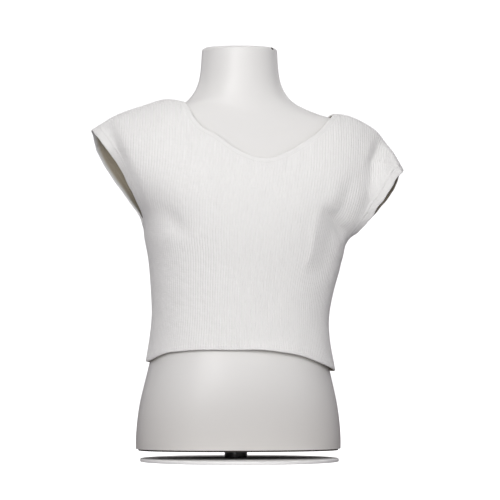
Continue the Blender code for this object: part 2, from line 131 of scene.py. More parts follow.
class Surface:
    """A material under construction: one Principled shader, and the nodes that feed it."""

    def __init__(self, name, colour, fixed):
        self.material = bpy.data.materials.new(name)
        self.material.use_nodes = True
        self.tree = self.material.node_tree
        self.shader = self.tree.nodes["Principled BSDF"]
        self.shader.inputs["Base Color"].default_value = (*colour, 1)
        self.shade(fixed)

    def shade(self, sockets):
        """Gives the shader's own inputs their values or links."""
        feed(self.tree, self.shader, sockets)

    def add(self, kind, settings, sockets, out=0):
        return Value(self, new_node(self.tree, kind, settings, sockets).outputs[out])

    def grain(self, size, detail=2.0, stretch=(1, 1, 1)):
        """Noise from 0 to 1 whose lumps are about size across, fixed to the object."""
        place = self.add("ShaderNodeTexCoord", {}, {}, out="Object")
        scale = tuple(1 / (size * s) for s in stretch)
        place = self.add("ShaderNodeMapping", {}, {"Vector": place, "Scale": scale})
        return self.add("ShaderNodeTexNoise", {}, {"Vector": place, "Scale": 1.0, "Detail": detail})

    def blend(self, factor, first, second):
        """A colour between two, each given as a tuple or a linked colour."""
        ends = [c if isinstance(c, Value) else (*c, 1) for c in (first, second)]
        sockets = {0: factor, 6: ends[0], 7: ends[1]}
        return self.add("ShaderNodeMix", {"data_type": "RGBA"}, sockets, out=2)

    def relief(self, height):
        """Bumps the surface by a height in metres."""
        bump = self.add("ShaderNodeBump", {}, {"Strength": 1.0, "Distance": 1.0, "Height": height})
        self.shade({"Normal": bump})


def placed(name, data):
    """A new object in the scene."""
    new = bpy.data.objects.new(name, data)
    bpy.context.scene.collection.objects.link(new)
    return new


def mesh_piece(name, points, faces, surface, slot, replaces=None, sharp=None):
    """A finished piece that rides on the one body in the surface's finish, and hides the part that it
    replaces. The slot is not used.
    """
    mesh = bpy.data.meshes.new(name)
    points = np.asarray(points, float).reshape(-1, 3)
    mesh.from_pydata(points.tolist(), [], [list(map(int, face)) for face in faces])
    mesh.validate()
    mesh.shade_smooth()
    if sharp is not None:
        mesh.set_sharp_from_angle(angle=math.radians(sharp))
    mesh.materials.append(surface.material)
    piece = placed(name, mesh)
    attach(piece, "root")
    if replaces:
        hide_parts(replaces)
    return piece


def grid_faces(rows, columns, round_rows=False, round_columns=False):
    """Faces of a grid of points, whose last row or column may join its first."""
    i, j = np.mgrid[0 : rows - (not round_rows), 0 : columns - (not round_columns)]
    k, m = (i + 1) % rows, (j + 1) % columns
    corners = [i * columns + j, i * columns + m, k * columns + m, k * columns + j]
    return np.stack([c.ravel() for c in corners], axis=1).tolist()


def closed_rings(rings):
    """Points and faces of a solid of rings, whose first and last ring are closed flat."""
    rows, columns = len(rings), len(rings[0])
    faces = grid_faces(rows, columns, round_columns=True)
    faces.append(list(range(columns))[::-1])
    faces.append([(rows - 1) * columns + j for j in range(columns)])
    return np.concatenate(rings), faces


def stacked(outlines, heights):
    """A closed solid of outlines, one above another, given as points in plan."""
    return closed_rings([np.column_stack([o, np.full(len(o), h)]) for o, h in zip(outlines, heights)])


def rounded_side(low, high, radius, steps=4):
    """Heights and insets up a side whose two edges are rounded."""
    turn = np.linspace(0, np.pi / 2, steps + 1)
    lower = [(low + radius * (1 - np.sin(a)), radius * (1 - np.cos(a))) for a in turn[::-1]]
    upper = [(high - radius * (1 - np.sin(a)), radius * (1 - np.cos(a))) for a in turn]
    return lower + upper


def turned(name, centre, radius, low, high, edge, sides, *finish):
    """A round piece with rounded edges, standing upright."""
    angle = np.arange(sides) * 2 * np.pi / sides
    circle = np.stack([np.cos(angle), np.sin(angle)], axis=1)
    levels = rounded_side(low, high, edge)
    outlines = [np.array(centre) + (radius - inset) * circle for _, inset in levels]
    solid = stacked(outlines, [height for height, _ in levels])
    return mesh_piece(name, *solid, *finish, sharp=40)


PLATE_EDGE = 0.9 * MM  # radius of the broken edges
plate_low, plate_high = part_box("foot_plate")
powder_coat = Surface("powder_coat", (0.94, 0.94, 0.93), {"Roughness": 0.7})
powder_coat.relief(powder_coat.grain(1.6 * MM) * 0.03 * MM)
measures = (plate_high.x, plate_low.z, plate_high.z, PLATE_EDGE)
turned("foot_plate_coated", (0, 0), *measures, 160, powder_coat, "plate_white", "foot_plate")

# ---- Pole socket -----------------------------------------------------------
# A short length of black lacquered steel tube between the plate and the base
# board. It is brushed along its length, and handling has rubbed it a little.
socket_low, socket_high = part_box("pole_socket")
_, board_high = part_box("form_board")
BOARD_THICK = 1.8 * MM
BOARD_UNDER = board_high.z - BOARD_THICK
TOUCH = 0.3 * MM  # what is left free between two pieces that touch
lacquer = Surface("black_lacquer", (0.012, 0.012, 0.013), {"Coat Weight": 0.35})
rubbed = lacquer.grain(9 * MM, 4.0, (1, 1, 3))
lacquer.shade({"Roughness": 0.22 + rubbed * 0.3})
worn_black = lacquer.blend(rubbed**3, (0.008, 0.008, 0.009), (0.07, 0.07, 0.065))
lacquer.shade({"Base Color": worn_black})
lacquer.relief(lacquer.grain(0.5 * MM, 3.0, (1, 1, 30)) * 0.02 * MM)
centre = ((socket_low + socket_high) / 2).xy
measures = ((socket_high.x - socket_low.x) / 2, socket_low.z, BOARD_UNDER - TOUCH, 0.8 * MM)
turned("pole_socket_tube", centre, *measures, 96, lacquer, "socket_black", "pole_socket")

# ---- Form body -------------------------------------------------------------
# A child's limbless torso from neck to hip, moulded in gloss white plastic, its
# neck closed by a low crown. Its skin is very slightly wavy, as such mouldings are.
# middle, half width, height at the sides, depth in front, depth behind, height in
# front and behind (mm), squareness, how late the height changes
FORM_RINGS = [
    (-1.3, 129.0, 16.0, 76.5, 86.5, 16.0, 2.25, 2.0),
    (-1.3, 128.8, 36.0, 78.0, 88.0, 36.0, 2.25, 2.0),
    (-1.3, 125.3, 67.0, 80.2, 85.0, 67.0, 2.25, 2.0),
    (-1.1, 118.8, 97.0, 81.2, 76.5, 97.0, 2.25, 2.0),
    (-0.9, 112.2, 125.0, 79.8, 68.6, 125.0, 2.28, 2.0),
    (-0.6, 107.4, 150.0, 77.0, 63.8, 150.0, 2.3, 2.0),
    (-0.3, 105.0, 175.0, 74.8, 62.0, 175.0, 2.32, 2.0),
    (-0.1, 106.2, 205.0, 75.4, 64.4, 205.0, 2.35, 2.0),
    (0.0, 109.0, 240.0, 78.8, 70.2, 240.0, 2.38, 2.0),
    (0.0, 111.6, 272.0, 80.8, 75.6, 273.0, 2.42, 2.0),
    (0.0, 114.0, 298.0, 81.0, 78.0, 300.0, 2.5, 2.0),
    (0.0, 118.5, 315.0, 79.8, 78.6, 319.0, 2.6, 2.0),
    (0.0, 128.0, 332.0, 77.4, 78.4, 338.0, 2.8, 2.2),
    (0.0, 136.0, 348.0, 73.4, 77.0, 357.0, 2.8, 2.4),
    (0.0, 147.0, 364.0, 68.4, 74.2, 374.0, 2.7, 2.6),
    (0.0, 155.5, 381.0, 62.8, 70.2, 390.0, 2.6, 2.8),
    (0.0, 160.0, 397.0, 57.4, 65.8, 404.0, 2.8, 3.0),
    (0.0, 159.5, 409.0, 53.0, 61.6, 415.0, 2.5, 3.0),
    (0.0, 156.0, 417.6, 49.6, 58.0, 424.0, 2.3, 3.0),
    (0.0, 148.0, 424.0, 47.0, 54.6, 431.6, 2.05, 3.0),
    (0.0, 132.0, 428.8, 45.4, 52.0, 438.0, 1.9, 2.6),
    (0.0, 113.0, 433.4, 44.4, 50.4, 444.0, 1.8, 2.3),
    (0.0, 96.0, 438.8, 43.8, 49.6, 450.0, 1.8, 2.2),
    (0.0, 82.0, 444.4, 43.4, 49.4, 456.0, 1.9, 2.1),
    (0.0, 69.6, 451.2, 43.2, 49.4, 462.4, 1.95, 2.0),
    (0.0, 60.6, 460.0, 43.0, 49.2, 469.0, 2.0, 2.0),
    (0.0, 55.2, 468.8, 43.0, 49.0, 476.0, 2.0, 2.0),
    (0.0, 51.6, 478.6, 43.0, 48.8, 484.0, 2.0, 2.0),
    (0.0, 49.4, 491.0, 43.0, 48.6, 494.4, 2.0, 2.0),
    (0.0, 48.2, 505.0, 43.0, 48.2, 506.4, 2.0, 2.0),
    (0.0, 47.6, 515.6, 42.8, 48.0, 516.0, 2.0, 2.0),
    (0.0, 46.6, 518.8, 42.0, 47.0, 519.0, 2.0, 2.0),
    (0.0, 43.6, 520.6, 39.0, 44.0, 520.8, 2.0, 2.0),
]
RING_STEP = 0.2  # the mesh has five rings to each one of the table
FORM_AROUND = 240


def spline(at, values, where):
    """Natural cubic spline through the values' rows, which stand at the places at."""
    at, values = np.asarray(at, float), np.asarray(values, float)
    step = np.diff(at)
    slope = np.diff(values, axis=0) / step[:, None]
    system, right = np.eye(len(at)), np.zeros_like(values)
    for i in range(1, len(at) - 1):
        system[i, i - 1 : i + 2] = step[i - 1], 2 * (step[i - 1] + step[i]), step[i]
        right[i] = 6 * (slope[i] - slope[i - 1])
    bend = np.linalg.solve(system, right)
    where = np.atleast_1d(np.asarray(where, float))
    i = np.clip(np.searchsorted(at, where) - 1, 0, len(step) - 1)
    h, low, high = step[i, None], (at[i + 1] - where)[:, None], (where - at[i])[:, None]
    return (
        (bend[i] * low**3 + bend[i + 1] * high**3) / (6 * h)
        + (values[i] / h - bend[i] * h / 6) * low
        + (values[i + 1] / h - bend[i + 1] * h / 6) * high
    )


def table(rows, where, scale=MM):
    """The table's other columns at the places where in its first column, in metres."""
    rows = np.array(rows)
    return spline(rows[:, 0], rows[:, 1:] * scale, where).T


def unit(vectors):
    return vectors / np.maximum(np.linalg.norm(vectors, axis=-1, keepdims=True), 1e-12)


def form_rings(where, around):
    """Rings of the form's skin at these ring numbers, from the right side round by the front."""
    rows = [(k, *row) for k, row in enumerate(FORM_RINGS)]
    middle, wide, side_z, front_y, back_y, mid_z, square, late = table(rows, where)
    angle = (np.arange(around) / around - 0.25) * 2 * np.pi
    sine, cosine = np.sin(angle), np.cos(angle)
    rings = []
    # The table has scaled the last two columns too, though they aren't lengths.
    for i in range(len(wide)):
        power = 2 * MM / square[i]
        reach = np.sign(sine) * np.abs(sine) ** power
        y = np.where(cosine >= 0, -front_y[i], back_y[i]) * np.abs(cosine) ** power
        z = mid_z[i] + (side_z[i] - mid_z[i]) * np.abs(reach) ** (late[i] / MM)
        rings.append(np.stack([middle[i] + wide[i] * reach, y, z], axis=1))
    return np.array(rings)


rings = form_rings(np.arange(0, len(FORM_RINGS) - 1 + RING_STEP / 2, RING_STEP), FORM_AROUND)
crown = np.array([*rings[-1][:, :2].mean(axis=0), cad_high.z])
# The crown closes over the last ring in a few flatter and flatter rings.
rest = [crown + (rings[-1] - crown) * [1 - s, 1 - s, (1 - s) ** 2] for s in (0.25, 0.5, 0.75)]
rings = np.concatenate([rings, rest])
faces = grid_faces(len(rings), FORM_AROUND, round_columns=True)
top_row = (len(rings) - 1) * FORM_AROUND
faces.append(list(range(FORM_AROUND))[::-1])
for j in range(FORM_AROUND):
    faces.append([top_row + j, top_row + (j + 1) % FORM_AROUND, top_row + FORM_AROUND])
gloss_fixed = {"Coat Weight": 0.07, "Coat Roughness": 0.16, "IOR": 1.4}
gloss = Surface("gloss_white", (0.80, 0.79, 0.775), gloss_fixed)
# The white has yellowed a little in soft patches. Low down it is painted darker still, towards a grey at
# the bottom: painted shade for the light that falls off there.
stain = gloss.grain(70 * MM, 3.0)
place = gloss.add("ShaderNodeTexCoord", {}, {}, out="Object")
fade = {"Value": place.part("Z"), "From Min": 0.15, "From Max": 0.0, "To Min": 0.0, "To Max": 1.0}
# Painted shade: this mask darkens the colour from 15 cm above the bottom down to the bottom.
painted_shade_low_down = gloss.add("ShaderNodeMapRange", {"interpolation_type": "SMOOTHSTEP"}, fade)
clean = gloss.blend(stain, (0.795, 0.795, 0.785), (0.77, 0.765, 0.75))
gloss.shade({"Base Color": gloss.blend(painted_shade_low_down, clean, (0.62, 0.605, 0.585))})
gloss.shade({"Roughness": 0.36 + gloss.grain(18 * MM, 4.0) * 0.1})
gloss.relief(gloss.grain(45 * MM, 1.0) * 0.35 * MM + gloss.grain(0.6 * MM) * 0.004 * MM)
points = np.concatenate([rings.reshape(-1, 3), [crown]])
mesh_piece("form_skin", points, faces, gloss, "form_white", "form_body", sharp=50)

# ---- Base board ------------------------------------------------------------
# A board of dark stained fibreboard let in under the form, a little smaller than
# its rim. Its edge is sawn and slightly rough, and its corners are broken.
BOARD_SET_IN = 1.5 * MM  # past the solid's own place inside the rim
rim = form_rings([0], FORM_AROUND)[0][:, :2]
middle = rim.mean(axis=0)
board_inset = rim[:, 0].max() - board_high.x + BOARD_SET_IN
levels = rounded_side(BOARD_UNDER, board_high.z, 0.6 * MM)
outlines = [middle + (rim - middle) - (board_inset + inset) * unit(rim - middle) for _, inset in levels]
points, faces = stacked(outlines, [height for height, _ in levels])
board_stain = Surface("stained_board", (0.035, 0.028, 0.022), {"Roughness": 0.65})
fibre = board_stain.grain(1.2 * MM, 4.0, (3, 3, 0.6))
fibre_brown = board_stain.blend(fibre, (0.018, 0.014, 0.011), (0.07, 0.057, 0.045))
board_stain.shade({"Base Color": fibre_brown})
board_stain.relief(fibre * 0.12 * MM)
mesh_piece("base_board", points, faces, board_stain, "board_dark", "form_board", sharp=40)

# ---- Neck screw ------------------------------------------------------------
# A small darkened countersunk screw, with a cross recess, on the shoulder of the
# neck's crown, which holds the crown on.
SCREW_RADIUS = 2.1 * MM
SCREW_RING = 31  # the form's ring that it stands on
SCREW_X = 38.4 * MM
SCREW_SIDES = 48
SEEK = 720  # places round the ring that are tried
NEAR = 0.25  # of a ring, for the way that the skin runs up there
screw_surface = Surface("dark_zinc", (0.06, 0.05, 0.045), {"Metallic": 0.8})
screw_surface.shade({"Roughness": 0.35 + screw_surface.grain(0.8 * MM) * 0.3})
lower, ring, upper = form_rings([SCREW_RING - NEAR, SCREW_RING, SCREW_RING + NEAR], SEEK)
spot = int(np.argmin(np.abs(ring[:, 0] - SCREW_X) + (ring[:, 1] > 0)))
screw_at = ring[spot]
screw_out = unit(np.cross(ring[spot + 1] - screw_at, upper[spot] - lower[spot]))
screw_across = unit(np.cross(screw_out, [0, 0, 1.0]))
screw_up = np.cross(screw_across, screw_out)
angle = np.arange(SCREW_SIDES) * 2 * np.pi / SCREW_SIDES
sine, cosine = np.sin(angle)[:, None], np.cos(angle)[:, None]
# The head's rings from its rim to its middle: share of the radius, height (mm)
HEAD_RINGS = [(1.0, -0.5), (1.0, 0.1), (0.9, 0.35), (0.62, 0.42), (0.55, 0.42), (0.3, 0.42), (0.12, 0.42)]
RECESS = 0.7  # depth of the cross (mm)
ARM = 0.13  # half width of the cross's arms, as a share of the radius
REACH = 0.6  # how far out the arms go
head = []
for share, lift in HEAD_RINGS:
    arm = np.minimum(np.abs(sine), np.abs(cosine)) * share < ARM
    sunk = np.where(arm & (share < REACH), RECESS, 0.0)
    flat = share * SCREW_RADIUS * (cosine * screw_across + sine * screw_up)
    head.append(screw_at + flat + (lift - sunk) * MM * screw_out)
mesh_piece("neck_screw", *closed_rings(head), screw_surface, "socket_black", sharp=35)

# ---- Vest panels, front and back -------------------------------------------
# Two panels of soft white cotton, knitted in a fine rib that runs up the body, 104
# ribs between the side seams, and seamed at the sides and on the shoulders. The
# panels widen above the underarm into cap sleeves. The vest hangs a little askew.
CLOTH = 2.0 * MM
SEAM_GAP = 0.3 * MM
UNDERARM = 0.5  # the row where the side seams end and the armholes begin
FOOT_BELOW = 0.7  # an armhole's foot lies below this row

# row, front depth, front height, back depth, back height (mm)
CENTRE_LINE = [
    (0.00, -84.2, 146.0, 75.0, 127.0),
    (0.08, -82.6, 165.0, 72.8, 150.0),
    (0.18, -81.2, 194.0, 71.4, 184.0),
    (0.30, -82.4, 231.0, 74.4, 223.0),
    (0.41, -85.6, 264.0, 79.4, 258.0),
    (0.50, -87.4, 290.0, 82.6, 287.0),
    (0.60, -86.4, 323.0, 84.6, 322.0),
    (0.70, -81.8, 355.0, 83.4, 356.0),
    (0.79, -73.4, 385.0, 79.0, 387.0),
    (0.87, -62.8, 412.0, 71.0, 414.0),
    (0.93, -49.6, 433.6, 58.0, 434.6),
    (0.97, -32.0, 447.4, 37.0, 447.6),
    (1.00, 0.0, 453.0, 0.0, 453.0),
]
# The side seams, from the hem to the underarm: row, x, z (mm)
RIGHT_SEAM = [
    (0.00, -117.0, 131.6),
    (0.08, -113.2, 155.0),
    (0.18, -110.4, 185.0),
    (0.30, -111.8, 222.0),
    (0.41, -115.6, 260.0),
    (0.50, -120.6, 291.0),
]
LEFT_SEAM = [
    (0.00, 119.4, 119.6),
    (0.08, 115.0, 143.0),
    (0.18, 112.2, 173.0),
    (0.30, 117.0, 208.0),
    (0.41, 126.0, 241.0),
    (0.50, 132.8, 269.2),
]
# The armholes' edges, from the underarm to the caps' tips: row, front x, y, z, back x, y, z (mm)
RIGHT_ARMHOLE = [
    (0.53, -121.2, -21.8, 303.4, -121.4, 21.8, 303.4),
    (0.59, -127.3, -36.2, 322.3, -128.0, 36.2, 322.0),
    (0.66, -136.5, -45.4, 341.4, -138.8, 45.4, 341.0),
    (0.74, -147.0, -48.2, 363.0, -151.8, 49.0, 363.0),
    (0.82, -157.8, -44.0, 383.2, -163.0, 46.0, 382.6),
    (0.90, -167.2, -33.4, 400.6, -171.2, 36.0, 400.8),
    (0.96, -174.2, -18.7, 413.4, -176.2, 20.4, 413.8),
    (1.00, -178.9, 0.0, 421.2, -178.9, 0.0, 421.2),
]
LEFT_ARMHOLE = [
    (0.53, 134.6, -20.5, 277.8, 135.8, 21.0, 278.6),
    (0.59, 142.5, -36.8, 292.8, 148.8, 37.9, 292.0),
    (0.66, 154.2, -44.5, 310.8, 166.4, 45.6, 310.4),
    (0.74, 166.2, -44.3, 329.6, 181.2, 45.5, 328.2),
    (0.82, 176.0, -38.1, 345.6, 192.8, 40.4, 343.9),
    (0.90, 185.2, -28.0, 360.0, 200.2, 30.4, 359.4),
    (0.96, 194.4, -15.0, 370.0, 202.2, 16.6, 369.9),
    (1.00, 203.8, 0.0, 375.6, 203.8, 0.0, 375.6),
]
# row, squareness in front, behind and at the ends, how late the height drops on
# the right and on the left
ROW_BEND = [
    (0.00, 2.35, 2.35, 2.35, 7.0, 2.2),
    (0.18, 2.40, 2.40, 2.40, 5.0, 2.2),
    (0.41, 2.50, 2.45, 2.45, 2.6, 2.2),
    (0.50, 2.80, 2.60, 2.30, 2.2, 2.2),
    (0.59, 3.60, 3.20, 1.45, 2.3, 2.4),
    (0.70, 4.00, 3.60, 1.05, 2.5, 2.8),
    (0.85, 3.80, 3.40, 1.00, 3.1, 3.5),
    (1.00, 3.00, 3.00, 1.00, 3.5, 4.0),
]
# x, z (mm)
SHOULDER_LINE = [
    (-178.9, 421.2), (-166.0, 429.6), (-150.0, 437.6), (-130.0, 444.7), (-112.0, 450.8),
    (-97.0, 455.0), (-86.0, 455.2), (-75.0, 453.6), (-30.0, 453.0), (24.0, 453.0), (80.0, 446.0),
    (112.0, 439.6), (134.0, 437.4), (151.0, 431.6), (166.5, 423.2), (178.0, 413.8), (187.4, 401.6),
    (196.4, 389.2), (203.8, 375.6),
]
FRONT_NECKLINE = [
    (-78.5, 454.2), (-68.0, 426.0), (-47.2, 406.6), (-20.7, 387.6), (3.6, 375.4), (26.7, 371.6),
    (52.8, 379.7), (82.7, 397.4), (102.6, 413.2), (116.8, 428.8), (125.4, 438.4),
]
BACK_NECKLINE = [
    (-78.5, 454.2), (-61.1, 436.0), (-25.3, 423.6), (25.8, 419.0), (78.7, 421.0), (110.1, 428.3),
    (125.4, 438.4),
]
# The creases, as soft lines through points: x, z, how far the cloth moves in there,
# below zero for a ridge, and the crease's half width (mm)
FRONT_CREASES = [
    # beside the right armhole, down to the armpit
    [
        (-169, 424, 0, 8), (-168, 416, 3.0, 9), (-166, 407, 4.8, 9), (-162, 397, 4.8, 9),
        (-157, 385, 3.6, 8), (-151, 367, 1.5, 8), (-145, 350, 0, 8),
    ],
    [
        (-107, 324, 0, 9), (-100, 313, 1.2, 9), (-94, 304, 2.6, 9), (-88, 295, 3.6, 10),
        (-80, 286, 2.6, 10), (-70, 277, 0, 10),
    ],
    # off the left shoulder's corner, down to the left armpit
    [
        (182, 409, 0, 7), (180, 404, 1.6, 8), (176, 395, 3.8, 9), (171, 385, 5.0, 9),
        (166, 375, 4.8, 9), (163, 360, 3.8, 11), (161, 340, 2.8, 10), (159, 322, 1.8, 9),
        (157, 312, 0, 8),
    ],
    [
        (150, 372, 0, 12), (138, 352, 1.8, 12), (129, 338, 2.8, 12), (126, 322, 2.6, 12),
        (125, 308, 1.5, 11), (125, 298, 0, 10),
    ],
    # under the left arm
    [
        (88, 319, 0, 7), (99, 311, 2.6, 7), (113, 303, 4.6, 9), (121, 294, 6.0, 8), (127, 285, 5.0, 7),
        (132, 277, 0, 6),
    ],
    # down the left side, where the front turns to the side
    [
        (96, 326, 0, 6), (93, 312, -0.9, 6), (86, 298, -1.1, 6), (84, 285, -1.2, 6), (82, 272, -1.2, 6),
        (80, 260, -1.2, 6), (75, 247, -1.1, 6), (70, 235, -0.6, 6), (67, 226, 0, 6),
    ],
    [
        (121, 326, 0, 12), (116, 312, 2.5, 13), (111, 298, 3.5, 15), (109, 285, 4.0, 16),
        (107, 272, 4.0, 16), (105, 260, 3.8, 15), (100, 247, 3.2, 14), (94, 235, 2.0, 13),
        (90, 226, 0, 12),
    ],
    # small ones at the waist and under the neckline
    [(72, 247, 0, 3), (77, 242, 1.2, 3), (85, 239, 1.0, 4), (94, 238, 0, 5)],
    [(110, 256, 0, 3), (118, 252, 0.8, 3), (128, 248, 0.8, 3), (135, 246, 0, 3)],
    [(52, 384, 0, 3), (51, 376, 0.7, 3), (48, 362, 0.7, 3), (46, 354, 0, 3)],
    [(60, 380, 0, 3), (58, 370, 0.5, 3), (55, 358, 0, 3)],
    # the hem stands off in the middle
    [(-8, 137, 0, 9), (8, 137, -3.6, 10), (30, 136, -3.6, 10), (60, 131, -2.0, 9), (84, 127, 0, 9)],
]
# Beside the armholes the front turns in towards the form on the right, and stands
# out in a stiff flap on the left: z and x of the turn (mm), and the slope past it
RIGHT_TURN = [
    (292, -118, 0), (307, -121, 0.35), (322, -126, 0.6), (337, -131, 0.75), (357, -138, 0.75),
    (377, -144, 0.55), (387, -147, 0.4), (397, -152, 0.15), (412, -160, 0),
]
LEFT_TURN = [
    (268, 124, 0), (279, 127, -0.2), (290, 134, -0.4), (302, 143, -0.5), (313, 150, -0.5),
    (324, 156, -0.55), (340, 160, -0.7), (360, 163, -0.75), (376, 166, -0.8), (390, 173, -0.7),
    (404, 180, -0.4), (412, 184, 0),
]
TURN_ROUND = 4.0 * MM  # the turn is rounded over this width
BACK_CREASES = [
    [(-168, 420, 0, 8), (-160, 404, 3.0, 9), (-142, 366, 3.6, 10), (-124, 332, 0, 11)],
    [(174, 398, 0, 8), (166, 378, 3.2, 10), (154, 342, 3.6, 11), (143, 306, 0, 12)],
    [(136, 294, 3.0, 8), (120, 303, 3.4, 11), (102, 314, 2.2, 13), (84, 324, 0, 13)],
    [(-104, 326, 0, 12), (-88, 308, 2.2, 14), (-68, 290, 1.8, 17), (-48, 272, 0, 18)],
    [(-46, 262, 0, 10), (-42, 240, 1.4, 11), (-35, 205, 1.6, 12), (-29, 172, 0, 12)],
    [(66, 268, 0, 4), (74, 262, 1.0, 4), (86, 258, 0.8, 5), (96, 256, 0, 5)],
]
FOLD_FADE = 25.0 * MM  # a crease fades out over this depth from the seams
UNEVEN = 0.35 * MM  # soft unevenness of worn knitting
UNEVEN_SIZE = 26.0 * MM
DEEPEST_CUT = 0.95  # an armhole leaves at least a little of the round section
CAP_ROW = 0.72  # above it the sections turn into the shoulder's
STATIONS = 321  # points along a row
# The rows are crowded at the armhole's foot and at the shoulder.
CROWDED = (1 - np.cos(np.linspace(0, np.pi, 161))) / 2
ROWS = np.r_[np.linspace(0, UNDERARM, 70)[:-1], UNDERARM + (1 - UNDERARM) * CROWDED]

RIBS = 104  # between a panel's side seams
PER_RIB = 6  # columns of the mesh to a rib
CHEST_PITCH = 3.55 * MM  # from rib to rib above the underarm
CHEST_ROW = 0.64  # from this row up the pitch is the chest's
RIB_HIGH = 0.22 * MM  # crest of a rib above the cloth's middle line
RIB_DEEP = 0.20 * MM  # and the trough beside it below that line
RIB_ROUND = 2.2  # power of a rib's profile: the higher, the broader its crest
RIBS_END = 0.04  # share of the rows above the underarm in which the ribs flatten
SEAM_DEEP = 0.4 * MM  # the groove in which two panels are joined
SEAM_HALF = 1.3 * MM
FLAT_RIBS = (7.0 * MM, 16.0 * MM)  # from an armhole's edge, where the ribs begin and are whole
COURSE = 2.1 * MM  # height of one row of stitches
# Where the middle rib leans to: row, x (mm)
MIDDLE_RIB = [(0.5, 7.0), (0.75, 18.0), (1.0, 24.5)]
BODY_ROWS = CAP_ROWS = 46  # rows of faces below the armholes' feet, and above
FINE = 400  # how many places along a column are tried to find one
NECK_PLACES = 500  # and along the neckline
INNER_STRIDE = 2  # the inside of the cloth has every second row of points


def whole_edge(seam, armhole):
    """A side's edge from the hem to the cap's tip, in the front and the back at once."""
    return [(row, x, 0.0, z, x, 0.0, z) for row, x, z in seam] + armhole


RIGHT_EDGE = whole_edge(RIGHT_SEAM, RIGHT_ARMHOLE)
LEFT_EDGE = whole_edge(LEFT_SEAM, LEFT_ARMHOLE)


def edge_ends(edge, row, front):
    """Where a row ends. The armhole is round at its foot and its tip, as its depth squared is smooth."""
    x, y, z = table(edge, row).ravel()[slice(0, 3) if front else slice(3, 6)]
    squares = [(r[0], (r[2] if front else r[5]) ** 2) for r in edge if r[0] >= UNDERARM]
    y = np.sqrt(max(table(squares, row, MM * MM).item(), 0.0)) if row > UNDERARM else 0.0
    return x, (-1 if front else 1) * (y + SEAM_GAP / 2), z


def shoulder_fall(share):
    """How much of its fall the shoulder line has made along the row, from 0 to 1 at the tips."""
    line = np.array(SHOULDER_LINE) * MM
    x = line[0, 0] + (line[-1, 0] - line[0, 0]) * share
    height = spline(line[:, 0], line[:, 1:], x)[:, 0]
    top = CENTRE_LINE[-1][2] * MM
    return (top - height) / (top - np.where(share > 0.5, line[-1, 1], line[0, 1]))


def lengths(line):
    """How far along a line of points each one of them lies."""
    return np.r_[0, np.cumsum(np.linalg.norm(np.diff(line[:, :3], axis=0), axis=1))]


def evenly(line, count, closed=False):
    """Points spaced evenly along a line of points, with their other columns."""
    length = lengths(line)
    places = np.linspace(0, length[-1], count, endpoint=not closed)
    return np.stack([np.interp(places, length, line[:, k]) for k in range(line.shape[1])], axis=1)


def eased(share):
    """The share, kept from 0 to 1, with a gentle start and end."""
    share = np.clip(share, 0, 1)
    return share * share * (3 - 2 * share)


def grid_normals(grid, outward):
    """Unit normals of a grid of points; on the seams they stay in the seam's plane."""
    normals = outward * unit(np.cross(np.gradient(grid, axis=1), np.gradient(grid, axis=0)))
    normals[np.abs(grid[..., 1]) < SEAM_GAP, 1] = 0
    return unit(normals)


def turned_at_armholes(side):
    """How far the front moves in or out where it turns beside the armholes."""
    x, z = side[..., 0], side[..., 2]
    shift = np.zeros(side.shape)
    for left, turn in ((-1, RIGHT_TURN), (1, LEFT_TURN)):
        height, corner, slope = np.array(turn).T
        past = left * (x - np.interp(z, height * MM, corner * MM)) / TURN_ROUND
        shift[..., 1] += np.interp(z, height * MM, slope) * TURN_ROUND * np.logaddexp(0, past)
    return shift


def creased(side, front):
    """The side with its creases pressed in, which fade out towards its seams."""
    place = side[..., [0, 2]]
    inward = np.zeros(place.shape[:2])
    for crease in FRONT_CREASES if front else BACK_CREASES:
        crease = np.array(crease) * MM
        nearest, depth, width = np.full(inward.shape, np.inf), 0.0, 1.0
        for start, end in zip(crease, crease[1:]):
            run = end[:2] - start[:2]
            along = np.clip((place - start[:2]) @ run / (run @ run), 0, 1)
            away = np.linalg.norm(place - start[:2] - along[..., None] * run, axis=-1)
            closer = away < nearest
            nearest = np.where(closer, away, nearest)
            depth = np.where(closer, start[2] + along * (end[2] - start[2]), depth)
            width = np.where(closer, start[3] + along * (end[3] - start[3]), width)
        inward += depth * np.exp(-((nearest / width) ** 2))
    lumps = [noise.noise(Vector(p) / UNEVEN_SIZE) for p in side.reshape(-1, 3)]
    inward += UNEVEN * np.reshape(lumps, inward.shape)
    from_seam = np.abs(side[..., 1:2])
    inward = inward[..., None] * np.clip(from_seam / FOLD_FADE, 0, 1)
    shift = turned_at_armholes(side) * np.clip(2 * from_seam / FOLD_FADE, 0, 1) if front else 0.0
    return side + shift - inward * grid_normals(side, 1 if front else -1)


